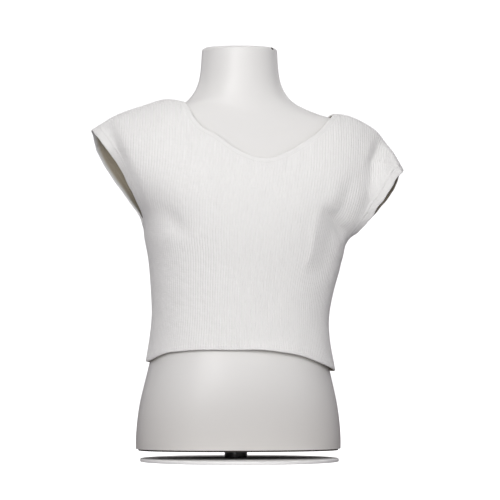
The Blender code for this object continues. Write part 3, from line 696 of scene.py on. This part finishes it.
def vest_side(front):
    """Outer face of the front or the back: points by row and by share of the row's length."""
    side = np.empty((len(ROWS), STATIONS, 3))
    reach = np.sin(np.linspace(-0.5, 0.5, 4 * STATIONS) * np.pi)
    share = (reach + 1) / 2
    on_left = reach > 0
    middles = table(CENTRE_LINE, ROWS)[slice(0, 2) if front else slice(2, 4)]
    squares = [(r[0], r[1] ** 2, r[3] ** 2) for r in CENTRE_LINE]
    depths = np.sqrt(np.maximum(table(squares, ROWS, MM * MM)[0 if front else 1], 0))
    for i, row in enumerate(ROWS):
        right_end, left_end = (edge_ends(e, row, front) for e in (RIGHT_EDGE, LEFT_EDGE))
        bend = table(ROW_BEND, row, 1).ravel()
        round_by = bend[0 if front else 1]
        late = np.abs(reach) ** np.where(on_left, bend[4], bend[3])
        blend = max(0.0, (row - UNDERARM) / (1 - UNDERARM)) ** 2
        late = late + (shoulder_fall(share) - late) * blend
        y_mid = (-1 if front else 1) * (depths[i] + SEAM_GAP / 2)
        depth = (1 - np.abs(reach) ** round_by) ** (1 / bend[2])
        y = right_end[1] + (left_end[1] - right_end[1]) * share
        y = y + (y_mid - y) * depth
        # Low down, an armhole only cuts the end off the body's round section.
        cut = np.clip(np.where(on_left, left_end[1], right_end[1]) / y_mid, 0, DEEPEST_CUT)
        wide = (1 - cut ** bend[2]) ** (1 / round_by)
        y_cut = y_mid * (1 - (wide * np.abs(reach)) ** round_by) ** (1 / bend[2])
        high_up = np.clip((row - CAP_ROW) / (1 - CAP_ROW), 0, 1) ** 0.5
        y = y_cut + (y - y_cut) * high_up
        z_mid, z_end = middles[1, i], np.where(on_left, left_end[2], right_end[2])
        x = right_end[0] + (left_end[0] - right_end[0]) * share
        line = np.stack([x, y, z_mid + (z_end - z_mid) * late], axis=1)
        side[i] = evenly(line, STATIONS)
    return creased(side, front)


def at(grid, row, share):
    """Values of a grid by row and share, read at these rows and shares of the row."""
    row, share = np.broadcast_arrays(row, share)
    r = np.interp(row, ROWS, np.arange(len(ROWS)))
    s = np.clip(share, 0, 1) * (STATIONS - 1)
    i = np.minimum(r.astype(int), len(ROWS) - 2)
    j = np.minimum(s.astype(int), STATIONS - 2)
    u, v = (r - i)[..., None], (s - j)[..., None]
    low = grid[i, j] * (1 - v) + grid[i, j + 1] * v
    high = grid[i + 1, j] * (1 - v) + grid[i + 1, j + 1] * v
    return low * (1 - u) + high * u


class Knitting:
    """One panel's surface, read by row and by rib, counted from the middle rib to the wearer's left."""

    def __init__(self, front, neckline):
        self.side = vest_side(front)
        self.normals = grid_normals(self.side, 1 if front else -1)
        self.neckline = np.array(neckline) * MM
        length = np.linalg.norm(np.diff(self.side, axis=1), axis=2).sum(axis=1)
        shares = np.linspace(0, 1, STATIONS)
        lean = np.array(MIDDLE_RIB)
        middle_x = np.interp(ROWS, lean[:, 0], lean[:, 1] * MM)
        middle = [np.interp(x, line[:, 0], shares) for x, line in zip(middle_x, self.side)]
        start = np.clip((ROWS - UNDERARM) / (lean[1, 0] - UNDERARM), 0, 1)
        self.middle = 0.5 + (np.array(middle) - 0.5) * start
        seamed = np.interp(np.minimum(ROWS, UNDERARM), ROWS, length) / RIBS
        self.pitch = seamed + (CHEST_PITCH - seamed) * eased((ROWS - UNDERARM) / (CHEST_ROW - UNDERARM))
        self.step = self.pitch / length  # share of the row from rib to rib
        self.first, self.last = -self.middle / self.step, (1 - self.middle) / self.step

    def share(self, row, rib):
        return np.interp(row, ROWS, self.middle) + rib * np.interp(row, ROWS, self.step)

    def points(self, row, rib):
        return at(self.side, row, self.share(row, rib))

    def outward(self, row, rib):
        return unit(at(self.normals, row, self.share(row, rib)))

    def feet(self):
        """The row and the rib at which each armhole comes furthest in: right, then left."""
        above = np.flatnonzero((ROWS > UNDERARM) & (ROWS < FOOT_BELOW))
        right = above[np.argmax(self.first[above])]
        left = above[np.argmin(self.last[above])]
        return (ROWS[right], self.first[right]), (ROWS[left], self.last[left])

    def columns(self):
        """Ribs of the mesh's columns, and each column's limits: (low row, high row) below and above."""
        (right_row, right_rib), (left_row, left_rib) = self.feet()
        ribs = np.arange(math.ceil(self.first[-1] * PER_RIB) + 1, math.floor(self.last[-1] * PER_RIB))
        ribs = ribs / PER_RIB
        body = ribs[np.abs(ribs) <= RIBS / 2]
        shelf_body = np.interp(body, [right_rib, left_rib], [right_row, left_row])
        shelf_cap = np.interp(ribs, [right_rib, left_rib], [right_row, left_row])
        below, above = ROWS >= UNDERARM, ROWS >= max(right_row, left_row)
        for edge, foot_row, foot_rib, sign in (
            (self.first, right_row, right_rib, -1),
            (self.last, left_row, left_rib, 1),
        ):
            lower = below & (ROWS <= foot_row)
            upper = ROWS >= foot_row
            out = sign * body > sign * foot_rib
            order = np.argsort(sign * edge[lower])
            shelf_body[out] = np.interp(sign * body[out], sign * edge[lower][order], ROWS[lower][order])
            out = sign * ribs > sign * foot_rib
            shelf_cap[out] = np.interp(sign * ribs[out], sign * edge[upper], ROWS[upper])
        return ribs, body, shelf_body, shelf_cap

    def tops(self, ribs, low):
        """The row at which each column meets the neckline or the shoulder seam."""
        rows = low[:, None] + (1 - low[:, None]) * np.linspace(0, 1, FINE)[None, :]
        columns = self.points(rows, ribs[:, None])
        x, z = columns[..., 0], columns[..., 2]
        necks = self.neckline
        line = spline(necks[:, 0], necks[:, 1:], np.clip(x, *necks[[0, -1], 0]).ravel()).reshape(x.shape)
        over = (z - line) * ((x > necks[0, 0]) & (x < necks[-1, 0]))
        found = np.ones(len(ribs))
        for k in range(len(ribs)):
            crossed = np.flatnonzero(over[k] > 0)
            if len(crossed) and crossed[0] > 0:
                j = crossed[0]
                part = -over[k, j - 1] / max(over[k, j] - over[k, j - 1], 1e-9)
                found[k] = rows[k, j - 1] + np.clip(part, 0, 1) * (rows[k, j] - rows[k, j - 1])
        return found

    def between(self, ribs, low, high, count):
        """Rows that space this many points evenly up each column, by column."""
        dense = low + (high - low) * np.linspace(0, 1, FINE)[:, None]
        steps = np.linalg.norm(np.diff(self.points(dense, ribs), axis=0), axis=2)
        length = np.concatenate([np.zeros((1, len(ribs))), np.cumsum(steps, axis=0)])
        found = np.empty((count, len(ribs)))
        for k in range(len(ribs)):
            found[:, k] = np.interp(np.linspace(0, length[-1, k], count), length[:, k], dense[:, k])
        return found

    def courses(self, row):
        """How many rows of stitches lie below a row, counted up the middle."""
        return np.interp(row, ROWS, lengths(self.side[:, STATIONS // 2])) / COURSE

    def ribbed(self, row, rib):
        """How much of the ribs is left beside the armholes, where the sewing flattens them."""
        gaps = [np.interp(row, ROWS, self.last) - rib, rib - np.interp(row, ROWS, self.first)]
        gap = np.minimum(*gaps) * np.interp(row, ROWS, self.pitch)
        left = np.clip((gap - FLAT_RIBS[0]) / (FLAT_RIBS[1] - FLAT_RIBS[0]), 0.0, 1.0)
        return np.where(row > UNDERARM, np.maximum(left, 1 - (row - UNDERARM) / RIBS_END), 1.0)

    def armhole(self, end):
        """The armhole's edge from the underarm to the tip, with its normals: end 0 right, -1 left."""
        above = ROWS >= UNDERARM
        return np.concatenate([self.side[above, end], self.normals[above, end]], axis=1)

    def neck_edge(self):
        """The neckline's edge from the right neck point to the left, with its normals."""
        ends = np.interp(self.neckline[[0, -1], 0], self.side[-1, :, 0], np.linspace(0, 1, STATIONS))
        ribs = np.linspace(*(ends - self.middle[-1]) / self.step[-1], NECK_PLACES)
        rows = self.tops(ribs, np.full(len(ribs), CHEST_ROW))
        rows[[0, -1]] = 1
        return np.concatenate([self.points(rows, ribs), self.outward(rows, ribs)], axis=1)


def rib_profile(rib):
    """Height of the cloth over its middle line: round crests, narrow troughs between the ribs."""
    across = np.abs(rib - np.floor(rib) - 0.5) * 2
    return RIB_HIGH - (RIB_HIGH + RIB_DEEP) * across**RIB_ROUND


def set_grain(piece, ribs, courses):
    """Writes the knitting's own directions, in ribs and courses, as the piece's UV map."""
    layer = piece.data.uv_layers.new(name="knit")
    corner = np.empty(len(piece.data.loops), int)
    piece.data.loops.foreach_get("vertex_index", corner)
    places = np.stack([ribs[corner], courses[corner]], axis=1)
    layer.data.foreach_set("uv", places.astype(np.float32).ravel())


soft = {"Roughness": 0.93, "Specular IOR Level": 0.25, "Sheen Weight": 0.2, "Sheen Roughness": 0.6}
knit = Surface("white_knit", (0.80, 0.795, 0.79), soft)
STITCH_DEPTH = 0.09 * MM
FUZZ_SIZE, FUZZ_DEPTH = 0.5 * MM, 0.1 * MM
SWELL_SIZE, SWELL_DEPTH = 7 * MM, 0.6 * MM
# Each rib is a row of stitches, whose legs lean and taper towards the troughs.
grain = knit.add("ShaderNodeUVMap", {"uv_map": "knit"}, {})
uneven = knit.grain(SWELL_SIZE, 3.0) - 0.5
across = (grain.part("X").fraction() - 0.5).size() * 2
leg = ((grain.part("Y") + uneven * 0.5 - across * 0.5) * (2 * math.pi)).cosine() * 0.28 + 0.72
legs = (1 - (across * 2 - 0.9) ** 2) * leg
fuzz = knit.grain(FUZZ_SIZE, 3.0)
knit.relief(legs * STITCH_DEPTH + fuzz * FUZZ_DEPTH + uneven * SWELL_DEPTH)
# Painted shade: the colour darkens into the troughs between the ribs. The rest of the change is yarn that
# is unevenly white.
shade = across**3 * 0.3 + (fuzz - 0.5) * 0.6 + uneven * 0.6
face = knit.blend(shade, (0.822, 0.822, 0.812), (0.76, 0.757, 0.752))
# Painted shade: the inside of the cloth, and the turned-under edges of the bands and the hem, are coloured
# a dark olive brown for the shade and warm bounced light within the vest; the yarn itself is the same
# white on both sides.
painted_inside_shade = knit.add("ShaderNodeAttribute", {"attribute_name": "painted_inside_shade"}, {}, out="Fac")
knit.shade({"Base Color": knit.blend(painted_inside_shade, face, (0.45, 0.40, 0.31))})


def set_painted_inside_shade(piece, inner):
    """Marks the points that are painted with the dark inside shade: the cloth's inner face and the
    turned-under edges.
    """
    layer = piece.data.attributes.new("painted_inside_shade", "FLOAT", "POINT")
    layer.data.foreach_set("value", np.asarray(inner, np.float32))


def set_sharp(piece, rim):
    """Keeps the shading crisp along the edges whose two points are both on the rim."""
    ends = np.empty(2 * len(piece.data.edges), int)
    piece.data.edges.foreach_get("vertices", ends)
    layer = piece.data.attributes.new("sharp_edge", "BOOLEAN", "EDGE")
    layer.data.foreach_set("value", rim[ends].reshape(-1, 2).all(axis=1))


def quads(ids):
    """Faces of a grid of points that are given by their numbers."""
    return np.stack([ids[:-1, :-1], ids[:-1, 1:], ids[1:, 1:], ids[1:, :-1]], axis=-1).reshape(-1, 4)


def panel_edge(below, above, joined, first):
    """Numbers of the points round a panel: along the hem to the left, and round by the shoulders."""
    right_foot, left_foot = np.flatnonzero(joined)[[0, -1]]
    stretches = [
        below[0, :-1],
        below[:-1, -1],
        below[-1, left_foot:][::-1],
        above[0, first + left_foot + 1 :],
        above[1:, -1],
        above[-1, -2::-1],
        above[-2:0:-1, 0],
        above[0, : first + right_foot],
        below[-1, : right_foot + 1][::-1],
        below[-2:0:-1, 0],
    ]
    return list(dict.fromkeys(np.concatenate(stretches).tolist()))


def sheet_faces(below, above, edge, total):
    """Faces of the outside, of the inside, which has every second row, and of the cut edge."""
    faces = np.concatenate([quads(below), quads(above)]).tolist()
    thinned = [ids[::INNER_STRIDE] for ids in (below, above)]
    faces += (np.concatenate([quads(ids) for ids in thinned])[:, ::-1] + total).tolist()
    inside = np.zeros(total, bool)
    for ids in thinned:
        inside[ids] = True
    kept = [k for k, number in enumerate(edge) if inside[number]]
    for a, b in zip(kept, kept[1:] + [kept[0] + len(edge)]):
        run = [edge[k % len(edge)] for k in range(a, b + 1)]
        faces.append(run[::-1] + [run[0] + total, run[-1] + total])
    return faces


def panel(name, front, neckline):
    """A whole panel as a closed sheet, its ribs raised, and its surface for the bands to start from."""
    knitting = Knitting(front, neckline)
    ribs, body, shelf_body, shelf_cap = knitting.columns()
    tops = knitting.tops(ribs, shelf_cap)
    # Two grids of points: up to the armholes' feet, and from there to the top.
    low_rows = knitting.between(body, np.zeros(len(body)), shelf_body, BODY_ROWS + 1)
    high_rows = knitting.between(ribs, shelf_cap, tops, CAP_ROWS + 1)
    row = np.concatenate([low_rows.ravel(), high_rows.ravel()])
    rib = np.concatenate([np.tile(body, BODY_ROWS + 1), np.tile(ribs, CAP_ROWS + 1)])
    base, out = knitting.points(row, rib), knitting.outward(row, rib)
    groove = SEAM_DEEP * np.exp(-((base[:, 1] / SEAM_HALF) ** 2))
    outer = base + (rib_profile(rib) * knitting.ribbed(row, rib) - groove)[:, None] * out
    inner = base - CLOTH * out
    below = np.arange(low_rows.size).reshape(low_rows.shape)
    above = low_rows.size + np.arange(high_rows.size).reshape(high_rows.shape)
    # Between the armholes' feet the two grids share their points.
    (_, right_rib), (_, left_rib) = knitting.feet()
    joined = (body > right_rib) & (body < left_rib)
    first = np.flatnonzero(np.isclose(ribs, body[0]))[0]
    above[0, first : first + len(body)][joined] = below[-1, joined]
    edge = panel_edge(below, above, joined, first)
    faces = sheet_faces(below, above, edge, len(base))
    if not front:
        faces = [face[::-1] for face in faces]
    # Only the points that a face uses are kept.
    used, numbers = np.unique(np.concatenate(faces), return_inverse=True)
    ends = np.cumsum([len(face) for face in faces])
    faces = [face.tolist() for face in np.split(numbers, ends[:-1])]
    points = np.concatenate([outer, inner])[used]
    piece = mesh_piece(name + "_knit", points, faces, knit, "knit_white", name)
    set_grain(piece, np.tile(rib, 2)[used], np.tile(knitting.courses(row), 2)[used])
    # The panel's inner face is painted with the dark inside shade.
    set_painted_inside_shade(piece, used >= len(base))
    set_sharp(piece, np.isin(used, edge))
    return piece, knitting


front_panel, front_knit = panel("vest_front", True, FRONT_NECKLINE)
back_panel, back_knit = panel("vest_back", False, BACK_NECKLINE)

# ---- Armhole, neck and hem bands -------------------------------------------
# The armholes are edged with a 16 mm strip of the same yarn, doubled and sewn on
# over the raw edge, whose ribs run round the opening. The neckline has a narrow
# one, and at the hem the body's own ribs run out into a rolled edge.
BAND = 2.6 * MM
BAND_STEP = 1.2 * MM  # from one section of a band to the next
SUNK = 0.35 * MM  # how far a band's inner edge lies in the panel
WAVE = 0.35 * MM  # how far a band's outer edge stands in and out
WAVE_SIZE = 14.0 * MM
LUMPS = 0.22 * MM
LUMP_SIZE = 6.0 * MM
SEWN = 0.9 * MM  # the sewing line, past the panel's edge
PULL = 0.26 * MM  # how far the sewing pulls the band in
PULL_HALF = 0.9 * MM
BACK_UNDER = 0.6 * MM  # how deep in the cloth a band's back face ends
UNEVEN_WIDTH = 0.1  # share of its width by which a band is now wider, now narrower
UNDER = np.linspace(np.pi / 2, -np.pi / 2, 9)  # angles round an edge, from face to back
# How far a band laps the panel, how wide it is past the edge, its ribs, how far it
# stands out, and how much higher its crests are
ARMHOLE_BAND = {"lap": 6 * MM, "width": 10 * MM, "ribs": 5, "proud": 0.2 * MM, "crest": 0.08 * MM}
NECK_BAND = {"lap": 1.5 * MM, "width": 7 * MM, "ribs": 2, "proud": 0.15 * MM, "crest": 0.1 * MM}


def sheet_tree(side):
    """The panel's surface, for finding the nearest place on it."""
    thin = side[::2, ::2]
    return BVHTree.FromPolygons(thin.reshape(-1, 3).tolist(), grid_faces(*thin.shape[:2]))


cloth_trees = [sheet_tree(front_knit.side), sheet_tree(back_knit.side)]


def on_cloth(point):
    """The nearest place on the two panels."""
    found = [tree.find_nearest(Vector(point)) for tree in cloth_trees]
    return min(found, key=lambda f: f[3])[0]


def ring_smoothed(rows, times):
    for _ in range(times):
        rows = (np.roll(rows, 1, axis=0) + 2 * rows + np.roll(rows, -1, axis=0)) / 4
    return rows


def edge_loop(front_part, back_part):
    """A closed line along the front's edge and back along the back's, with its normals."""
    ends = (front_part[[0, -1]] + back_part[[0, -1]]) / 2
    line = np.concatenate([ends[:1], front_part[1:-1], ends[1:], back_part[-2:0:-1], ends[:1]])
    return evenly(line, int(lengths(line)[-1] / BAND_STEP), closed=True)


def band_frame(loop, away, smooth):
    """The loop turned to run one way, with its normals and the way out past its edge."""
    along = np.roll(loop[:, :3], -1, axis=0) - np.roll(loop[:, :3], 1, axis=0)
    normals = unit(ring_smoothed(loop[:, 3:6], smooth))
    out = unit(np.cross(along, normals))
    if (out @ np.array(away)).mean() < 0:
        loop, normals, out = loop[::-1], normals[::-1], -out[::-1]
    return loop, normals, unit(ring_smoothed(out, smooth))


def band_section(lap, width, ribs, proud, crest, rolled):
    """A band's outline: distances past the edge, heights, and where its painted inside shade begins."""
    radius = BAND / 2
    share = np.linspace(0, 1, ribs * PER_RIB + 1)
    across = (width - radius + lap) * share - lap
    height = proud + crest * (1 - (np.abs(((share * ribs) % 1) - 0.5) * 2) ** RIB_ROUND)
    # The lap rises out of the panel without a step.
    height = (height + SUNK) * eased((across + lap) / (0.9 * lap)) - SUNK
    height[-1] = proud
    turn = UNDER[1:]
    back = [0.5 * (width - radius), BACK_UNDER, BACK_UNDER, -lap]
    across = np.concatenate([across, width - radius + radius * np.cos(turn), back])
    under = [proud - BAND, proud - BAND, -BACK_UNDER, -BACK_UNDER]
    height = np.concatenate([height, proud - radius + radius * np.sin(turn), under])
    return across, height, len(share) + rolled


def edge_band(name, loop, away, rolled, lap, width, ribs, proud, crest):
    """A band swept round an edge, slightly wavy, its lap following the panel beneath."""
    loop, normals, out = band_frame(loop, away, 3)
    edge = loop[:, :3]
    across, height, inner = band_section(lap, width, ribs, proud, crest, rolled)
    wave = np.array([[noise.noise(Vector(p + k) / WAVE_SIZE) for k in (0.0, 1.0)] for p in edge])
    reach = across * (1 + UNEVEN_WIDTH * wave[:, :1] * (across > width / 2))
    flat = edge[:, None] + reach[..., None] * out[:, None]
    lumps = [noise.noise(Vector(p) / LUMP_SIZE) for p in flat.reshape(-1, 3)]
    lumps = np.reshape(lumps, flat.shape[:2])
    lift = height + WAVE * wave[:, 1:] * np.maximum(across / width, 0)
    lift += LUMPS * lumps * np.clip(1 + across / lap, 0, 1)
    pulled = np.exp(-(((across - SEWN) / PULL_HALF) ** 2)) * (np.arange(len(across)) < inner)
    lift -= PULL * pulled * (1 + 2 * lumps)
    for k in np.flatnonzero(across < 0):
        flat[:, k] = [on_cloth(p) for p in flat[:, k]]
    points = flat + lift[..., None] * normals[:, None]
    faces = grid_faces(*points.shape[:2], round_rows=True, round_columns=True)
    piece = mesh_piece(name + "_knit", points, faces, knit, "knit_white", name, sharp=70)
    length = np.cumsum(np.linalg.norm(np.diff(edge, axis=0, prepend=edge[-1:]), axis=1))
    rib = np.tile((across + lap) * ribs / (width + lap), (len(loop), 1))
    course = np.tile(length[:, None] / COURSE, (1, len(across)))
    set_grain(piece, rib.ravel(), course.ravel())
    set_painted_inside_shade(piece, np.tile(np.arange(len(across)) >= inner, len(loop)))
    return piece, points[:, int(np.argmin(np.abs(across[:inner] - SEWN)))]


# band, end of the rows that it edges, way out of the opening, and how many points of
# its rolled edge keep the knit's own colour before the painted inside shade begins
ARMHOLES = [
    ("armhole_band_right", 0, (-1, 0, 0.5), 8),
    ("armhole_band_left", -1, (1, 0, 0.5), 5),
]
bands, sewing_lines = [], []
for name, end, away, rolled in ARMHOLES:
    loop = edge_loop(front_knit.armhole(end), back_knit.armhole(end))
    band, sewn = edge_band(name, loop, away, rolled, **ARMHOLE_BAND)
    bands.append(band)
    sewing_lines.append(sewn)
loop = edge_loop(front_knit.neck_edge(), back_knit.neck_edge())
band, sewn = edge_band("neck_band", loop, (0, 0, 1), 6, **NECK_BAND)
bands.append(band)
sewing_lines.append(sewn)

# The hem band's sections stand at the columns of the panels, so the ribs run on
# and flatten out before the edge.
HEM_WIDTH = 6.0 * MM
HEM_PROUD = 0.2 * MM
HEM_UNEVEN = 0.12  # as UNEVEN_WIDTH, and longer in its waves
hem_ribs = np.linspace(-RIBS / 2, RIBS / 2, RIBS * PER_RIB + 1)
parts = []
for side in (front_knit, back_knit):
    row = np.zeros(len(hem_ribs))
    columns = [side.points(row, hem_ribs), side.outward(row, hem_ribs), hem_ribs[:, None]]
    parts.append(np.concatenate(columns, axis=1))
ends = (parts[0][[0, -1]] + parts[1][[0, -1]]) / 2
loop = np.concatenate([ends[:1], parts[0][1:-1], ends[1:], parts[1][-2:0:-1]])
loop, normals, out = band_frame(loop, (0, 0, -1), 10)
radius = BAND / 2
# The section's face and its back: distance past the panel's edge, height (mm), and how
# much of the ribs is left. Between the two it is rolled under.
HEM_FACE = [(-0.8, -0.4, 1.0), (0.0, 0.0, 1.0), (1.2, 0.0, 1.0), (2.4, 0.05, 0.8), (3.6, 0.15, 0.45)]
HEM_BACK = [(2.0, -2.4, 0), (0.3, -2.4, 0), (0.3, -1.0, 0), (-0.8, -1.0, 0)]
section = [(a * MM, h * MM, left) for a, h, left in HEM_FACE]
for angle, left in zip(UNDER, np.linspace(0.25, 0, len(UNDER))):
    rolled = (HEM_WIDTH - radius + radius * np.cos(angle), HEM_PROUD - radius + radius * np.sin(angle))
    section.append((*rolled, left))
section += [(a * MM, h * MM, left) for a, h, left in HEM_BACK]
# From this point of the section on, the hem's rolled edge and back are painted with the dark inside shade.
PAINTED_SHADE_FROM = 10  # of the section's points
across, height, left = np.array(section).T
wave = np.array([noise.noise(Vector(p) / (2 * WAVE_SIZE)) for p in loop[:, :3]])
reach = across * (1 + HEM_UNEVEN * wave[:, None] * (across > 2 * MM))
lift = height + left * rib_profile(loop[:, 6])[:, None]
points = loop[:, None, :3] + reach[..., None] * out[:, None] + lift[..., None] * normals[:, None]
faces = grid_faces(*points.shape[:2], round_rows=True, round_columns=True)
hem = mesh_piece("hem_band_knit", points, faces, knit, "knit_white", "hem_band", sharp=80)
set_grain(hem, np.repeat(loop[:, 6], len(across)), np.tile(-across / COURSE, len(loop)))
set_painted_inside_shade(hem, np.tile(np.arange(len(across)) >= PAINTED_SHADE_FROM, len(loop)))

# ---- Seam stitches ---------------------------------------------------------
# A line of white cotton stitches holds each armhole band and the neck band on, just
# past the panel's edge. The stitches are 2.7 mm apart and lie a little unevenly.
STITCH_PITCH = 2.7 * MM
STITCH_LENGTH = 2.0 * MM
THREAD = 0.6 * MM
STITCH_UNEVEN = 0.12 * MM
STITCH_SEED = 4
# Painted shade: the thread is coloured greyer than the knit's yarn, though both are white, so that the
# sewing line shows as a dotted shadow.
thread = Surface("white_thread", (0.70, 0.695, 0.685), {"Roughness": 0.75, "Sheen Weight": 0.1})
twist = thread.grain(0.35 * MM, 2.0, (1, 1, 3))
thread.shade({"Base Color": thread.blend(twist, (0.62, 0.615, 0.605), (0.76, 0.755, 0.745))})
thread.relief(twist * 0.06 * MM)


def stitch_group():
    """A node group that lays a stitch at every step along the lines it is given."""
    group = bpy.data.node_groups.new("stitches", "GeometryNodeTree")
    sockets = {}
    inputs = {"Lines": "Geometry", "Pitch": "Float", "Size": "Vector"}
    inputs |= {"Uneven": "Float", "Seed": "Int", "Thread": "Material"}
    for name, kind in inputs.items():
        sockets[name] = group.interface.new_socket(name, in_out="INPUT", socket_type="NodeSocket" + kind)
    group.interface.new_socket("Stitches", in_out="OUTPUT", socket_type="NodeSocketGeometry")

    def add(kind, sockets, **settings):
        return new_node(group, kind, settings, sockets).outputs

    given = group.nodes.new("NodeGroupInput").outputs
    curves = add("GeometryNodeMeshToCurve", {"Mesh": given["Lines"]})
    steps = {"Curve": curves["Curve"], "Length": given["Pitch"]}
    even = add("GeometryNodeResampleCurve", steps, mode="LENGTH")
    along = add("GeometryNodeInputTangent", {})
    turn = add("FunctionNodeAlignRotationToVector", {"Vector": along["Tangent"]}, axis="X")
    shape = add("GeometryNodeMeshUVSphere", {"Segments": 6, "Rings": 5, "Radius": 0.5})
    sized = add("GeometryNodeTransform", {"Geometry": shape["Mesh"], "Scale": given["Size"]})
    places = {"Points": even["Curve"], "Instance": sized["Geometry"], "Rotation": turn["Rotation"]}
    laid = add("GeometryNodeInstanceOnPoints", places)
    both_ways = {"Min": (-1, -1, -1), "Max": (1, 1, 1), "Seed": given["Seed"]}
    stray = add("FunctionNodeRandomValue", both_ways, data_type="FLOAT_VECTOR")
    shift = add("ShaderNodeVectorMath", {0: stray["Value"], "Scale": given["Uneven"]}, operation="SCALE")
    shifted = {"Instances": laid["Instances"], "Translation": shift["Vector"]}
    moved = add("GeometryNodeTranslateInstances", shifted)
    real = add("GeometryNodeRealizeInstances", {"Geometry": moved["Instances"]})
    smooth = add("GeometryNodeSetShadeSmooth", {"Geometry": real["Geometry"]})
    done = add("GeometryNodeSetMaterial", {"Geometry": smooth["Geometry"], "Material": given["Thread"]})
    add("NodeGroupOutput", {"Stitches": done["Geometry"]})
    return group, sockets


lines = bpy.data.meshes.new("sewing_lines")
starts = np.cumsum([0] + [len(line) for line in sewing_lines])
edges = [(a + i, a + (i + 1) % (b - a)) for a, b in zip(starts, starts[1:]) for i in range(b - a)]
lines.from_pydata(np.concatenate(sewing_lines).tolist(), edges, [])
stitches = placed("seam_stitches", lines)
group, sockets = stitch_group()
laying = stitches.modifiers.new("stitches", "NODES")
laying.node_group = group
settings = {
    "Pitch": STITCH_PITCH,
    "Size": (STITCH_LENGTH, THREAD, THREAD),
    "Uneven": STITCH_UNEVEN,
    "Seed": STITCH_SEED,
    "Thread": thread.material,
}
for name, value in settings.items():
    laying[sockets[name].identifier] = value
laid = stitches.evaluated_get(bpy.context.evaluated_depsgraph_get())
sewn = bpy.data.meshes.new_from_object(laid)
stitches.modifiers.remove(laying)
stitches.data = sewn
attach(stitches, "root")

# ---- Studio ----------------------------------------------------------------
# A pale floor and a pale round cove a long way off. Seven soft lamps: a strong one low
# on the wearer's right, a weak one on the left, one overhead, a small one close in
# front, and three that light the back.
FLOOR_REACH = 11.0
COVE_HEIGHT = 8.0
AROUND = 96


def stage_disc(name, rings, surface):
    """A stage surface turned about the upright axis, from radius and height pairs."""
    angle = np.arange(AROUND) * 2 * np.pi / AROUND
    points = [[(r * np.cos(a), r * np.sin(a), z) for a in angle] for r, z in rings]
    faces = grid_faces(len(rings), AROUND, round_columns=True)
    mesh = bpy.data.meshes.new(name)
    mesh.from_pydata(np.reshape(points, (-1, 3)).tolist(), [], faces)
    mesh.materials.append(surface.material)
    mesh.shade_smooth()
    piece = placed(name, mesh)
    return piece


PALE = (0.8, 0.8, 0.8)
paper = {"Roughness": 0.9, "Emission Color": (1, 1, 1, 1)}
floor_rings = [(0.001, 0), (1, 0), (3, 0), (FLOOR_REACH, 0)]
floor = stage_disc("floor", floor_rings, Surface("pale_floor", PALE, {**paper, "Emission Strength": 0.95}))
cove_rings = [(FLOOR_REACH, 0), (FLOOR_REACH, COVE_HEIGHT), (0.001, COVE_HEIGHT + 0.001)]
cove = stage_disc("cove", cove_rings, Surface("pale_cove", PALE, {**paper, "Emission Strength": 1.0}))
# Both only show: what lights the object is the lamps and the air.
for backdrop in (floor, cove):
    backdrop.visible_diffuse = backdrop.visible_glossy = backdrop.visible_shadow = False

scene = bpy.context.scene
scene.view_settings.view_transform = "Standard"
world = bpy.data.worlds.new("studio_air")
world.use_nodes = True
feed(world.node_tree, world.node_tree.nodes["Background"], {"Color": (1, 0.94, 1, 1), "Strength": 0.2})
scene.world = world

# The lamps: how far round from the front towards the wearer's left and up (degrees),
# how far off, the height that they aim at, width and height (m), and power (W)
LAMPS = [
    (-20, 8, 3.0, 0.28, 1.2, 1.4, 38.0),
    (42, 8, 3.0, 0.28, 1.6, 1.6, 6.0),
    (0, 88, 2.6, 0.28, 2.0, 2.0, 14.0),
    (0, 10, 1.3, 0.42, 0.9, 0.6, 5.8),
    (-140, 25, 3.0, 0.28, 1.8, 1.8, 12.0),
    (140, 25, 3.0, 0.28, 1.8, 1.8, 12.0),
    (180, 55, 2.6, 0.28, 1.4, 1.4, 8.0),
]
LAMP_COLOUR = (1, 0.995, 0.985)
FORM_X = 0.012  # the middle of the dressed form
for k, (round_by, up_by, distance, aim_z, width, height, power) in enumerate(LAMPS):
    a, e = math.radians(round_by), math.radians(up_by)
    away = Vector((math.sin(a) * math.cos(e), -math.cos(a) * math.cos(e), math.sin(e)))
    lamp = bpy.data.lights.new(f"lamp_{k}", "AREA")
    lamp.shape, lamp.size, lamp.size_y, lamp.energy = "RECTANGLE", width, height, power
    lamp.color = LAMP_COLOUR
    holder = placed(lamp.name, lamp)
    holder.location = Vector((FORM_X, 0, aim_z)) + away * distance
    holder.rotation_euler = (-away).to_track_quat("-Z", "Y").to_euler()

# ---- Camera ----------------------------------------------------------------
# At the height of the hips, aimed up a little, with a long lens, and standing a little
# to the wearer's right.
CAMERA_ROUND = math.radians(-7)
CAMERA_AWAY = 3.93
CAMERA_HEIGHT = 0.15
CAMERA_ACROSS = 0.01323  # how far to its own right it stands
TAKEN_IN = 0.63  # width of what it takes in at the form
AIMED_ABOVE = 0.11592  # how far over its own height it is aimed
FILM_WIDTH = 36  # mm
across = Vector((math.cos(CAMERA_ROUND), math.sin(CAMERA_ROUND), 0))
ahead = Vector((-math.sin(CAMERA_ROUND), math.cos(CAMERA_ROUND), 0))
data = bpy.data.cameras.new("camera")
data.sensor_width = FILM_WIDTH
data.lens = FILM_WIDTH * CAMERA_AWAY / TAKEN_IN
camera = placed("camera", data)
camera.location = Vector((0, 0, CAMERA_HEIGHT)) + across * CAMERA_ACROSS - ahead * CAMERA_AWAY
aim = ahead * CAMERA_AWAY + Vector((0, 0, AIMED_ABOVE))
camera.rotation_euler = aim.to_track_quat("-Z", "Y").to_euler()
scene.camera = camera
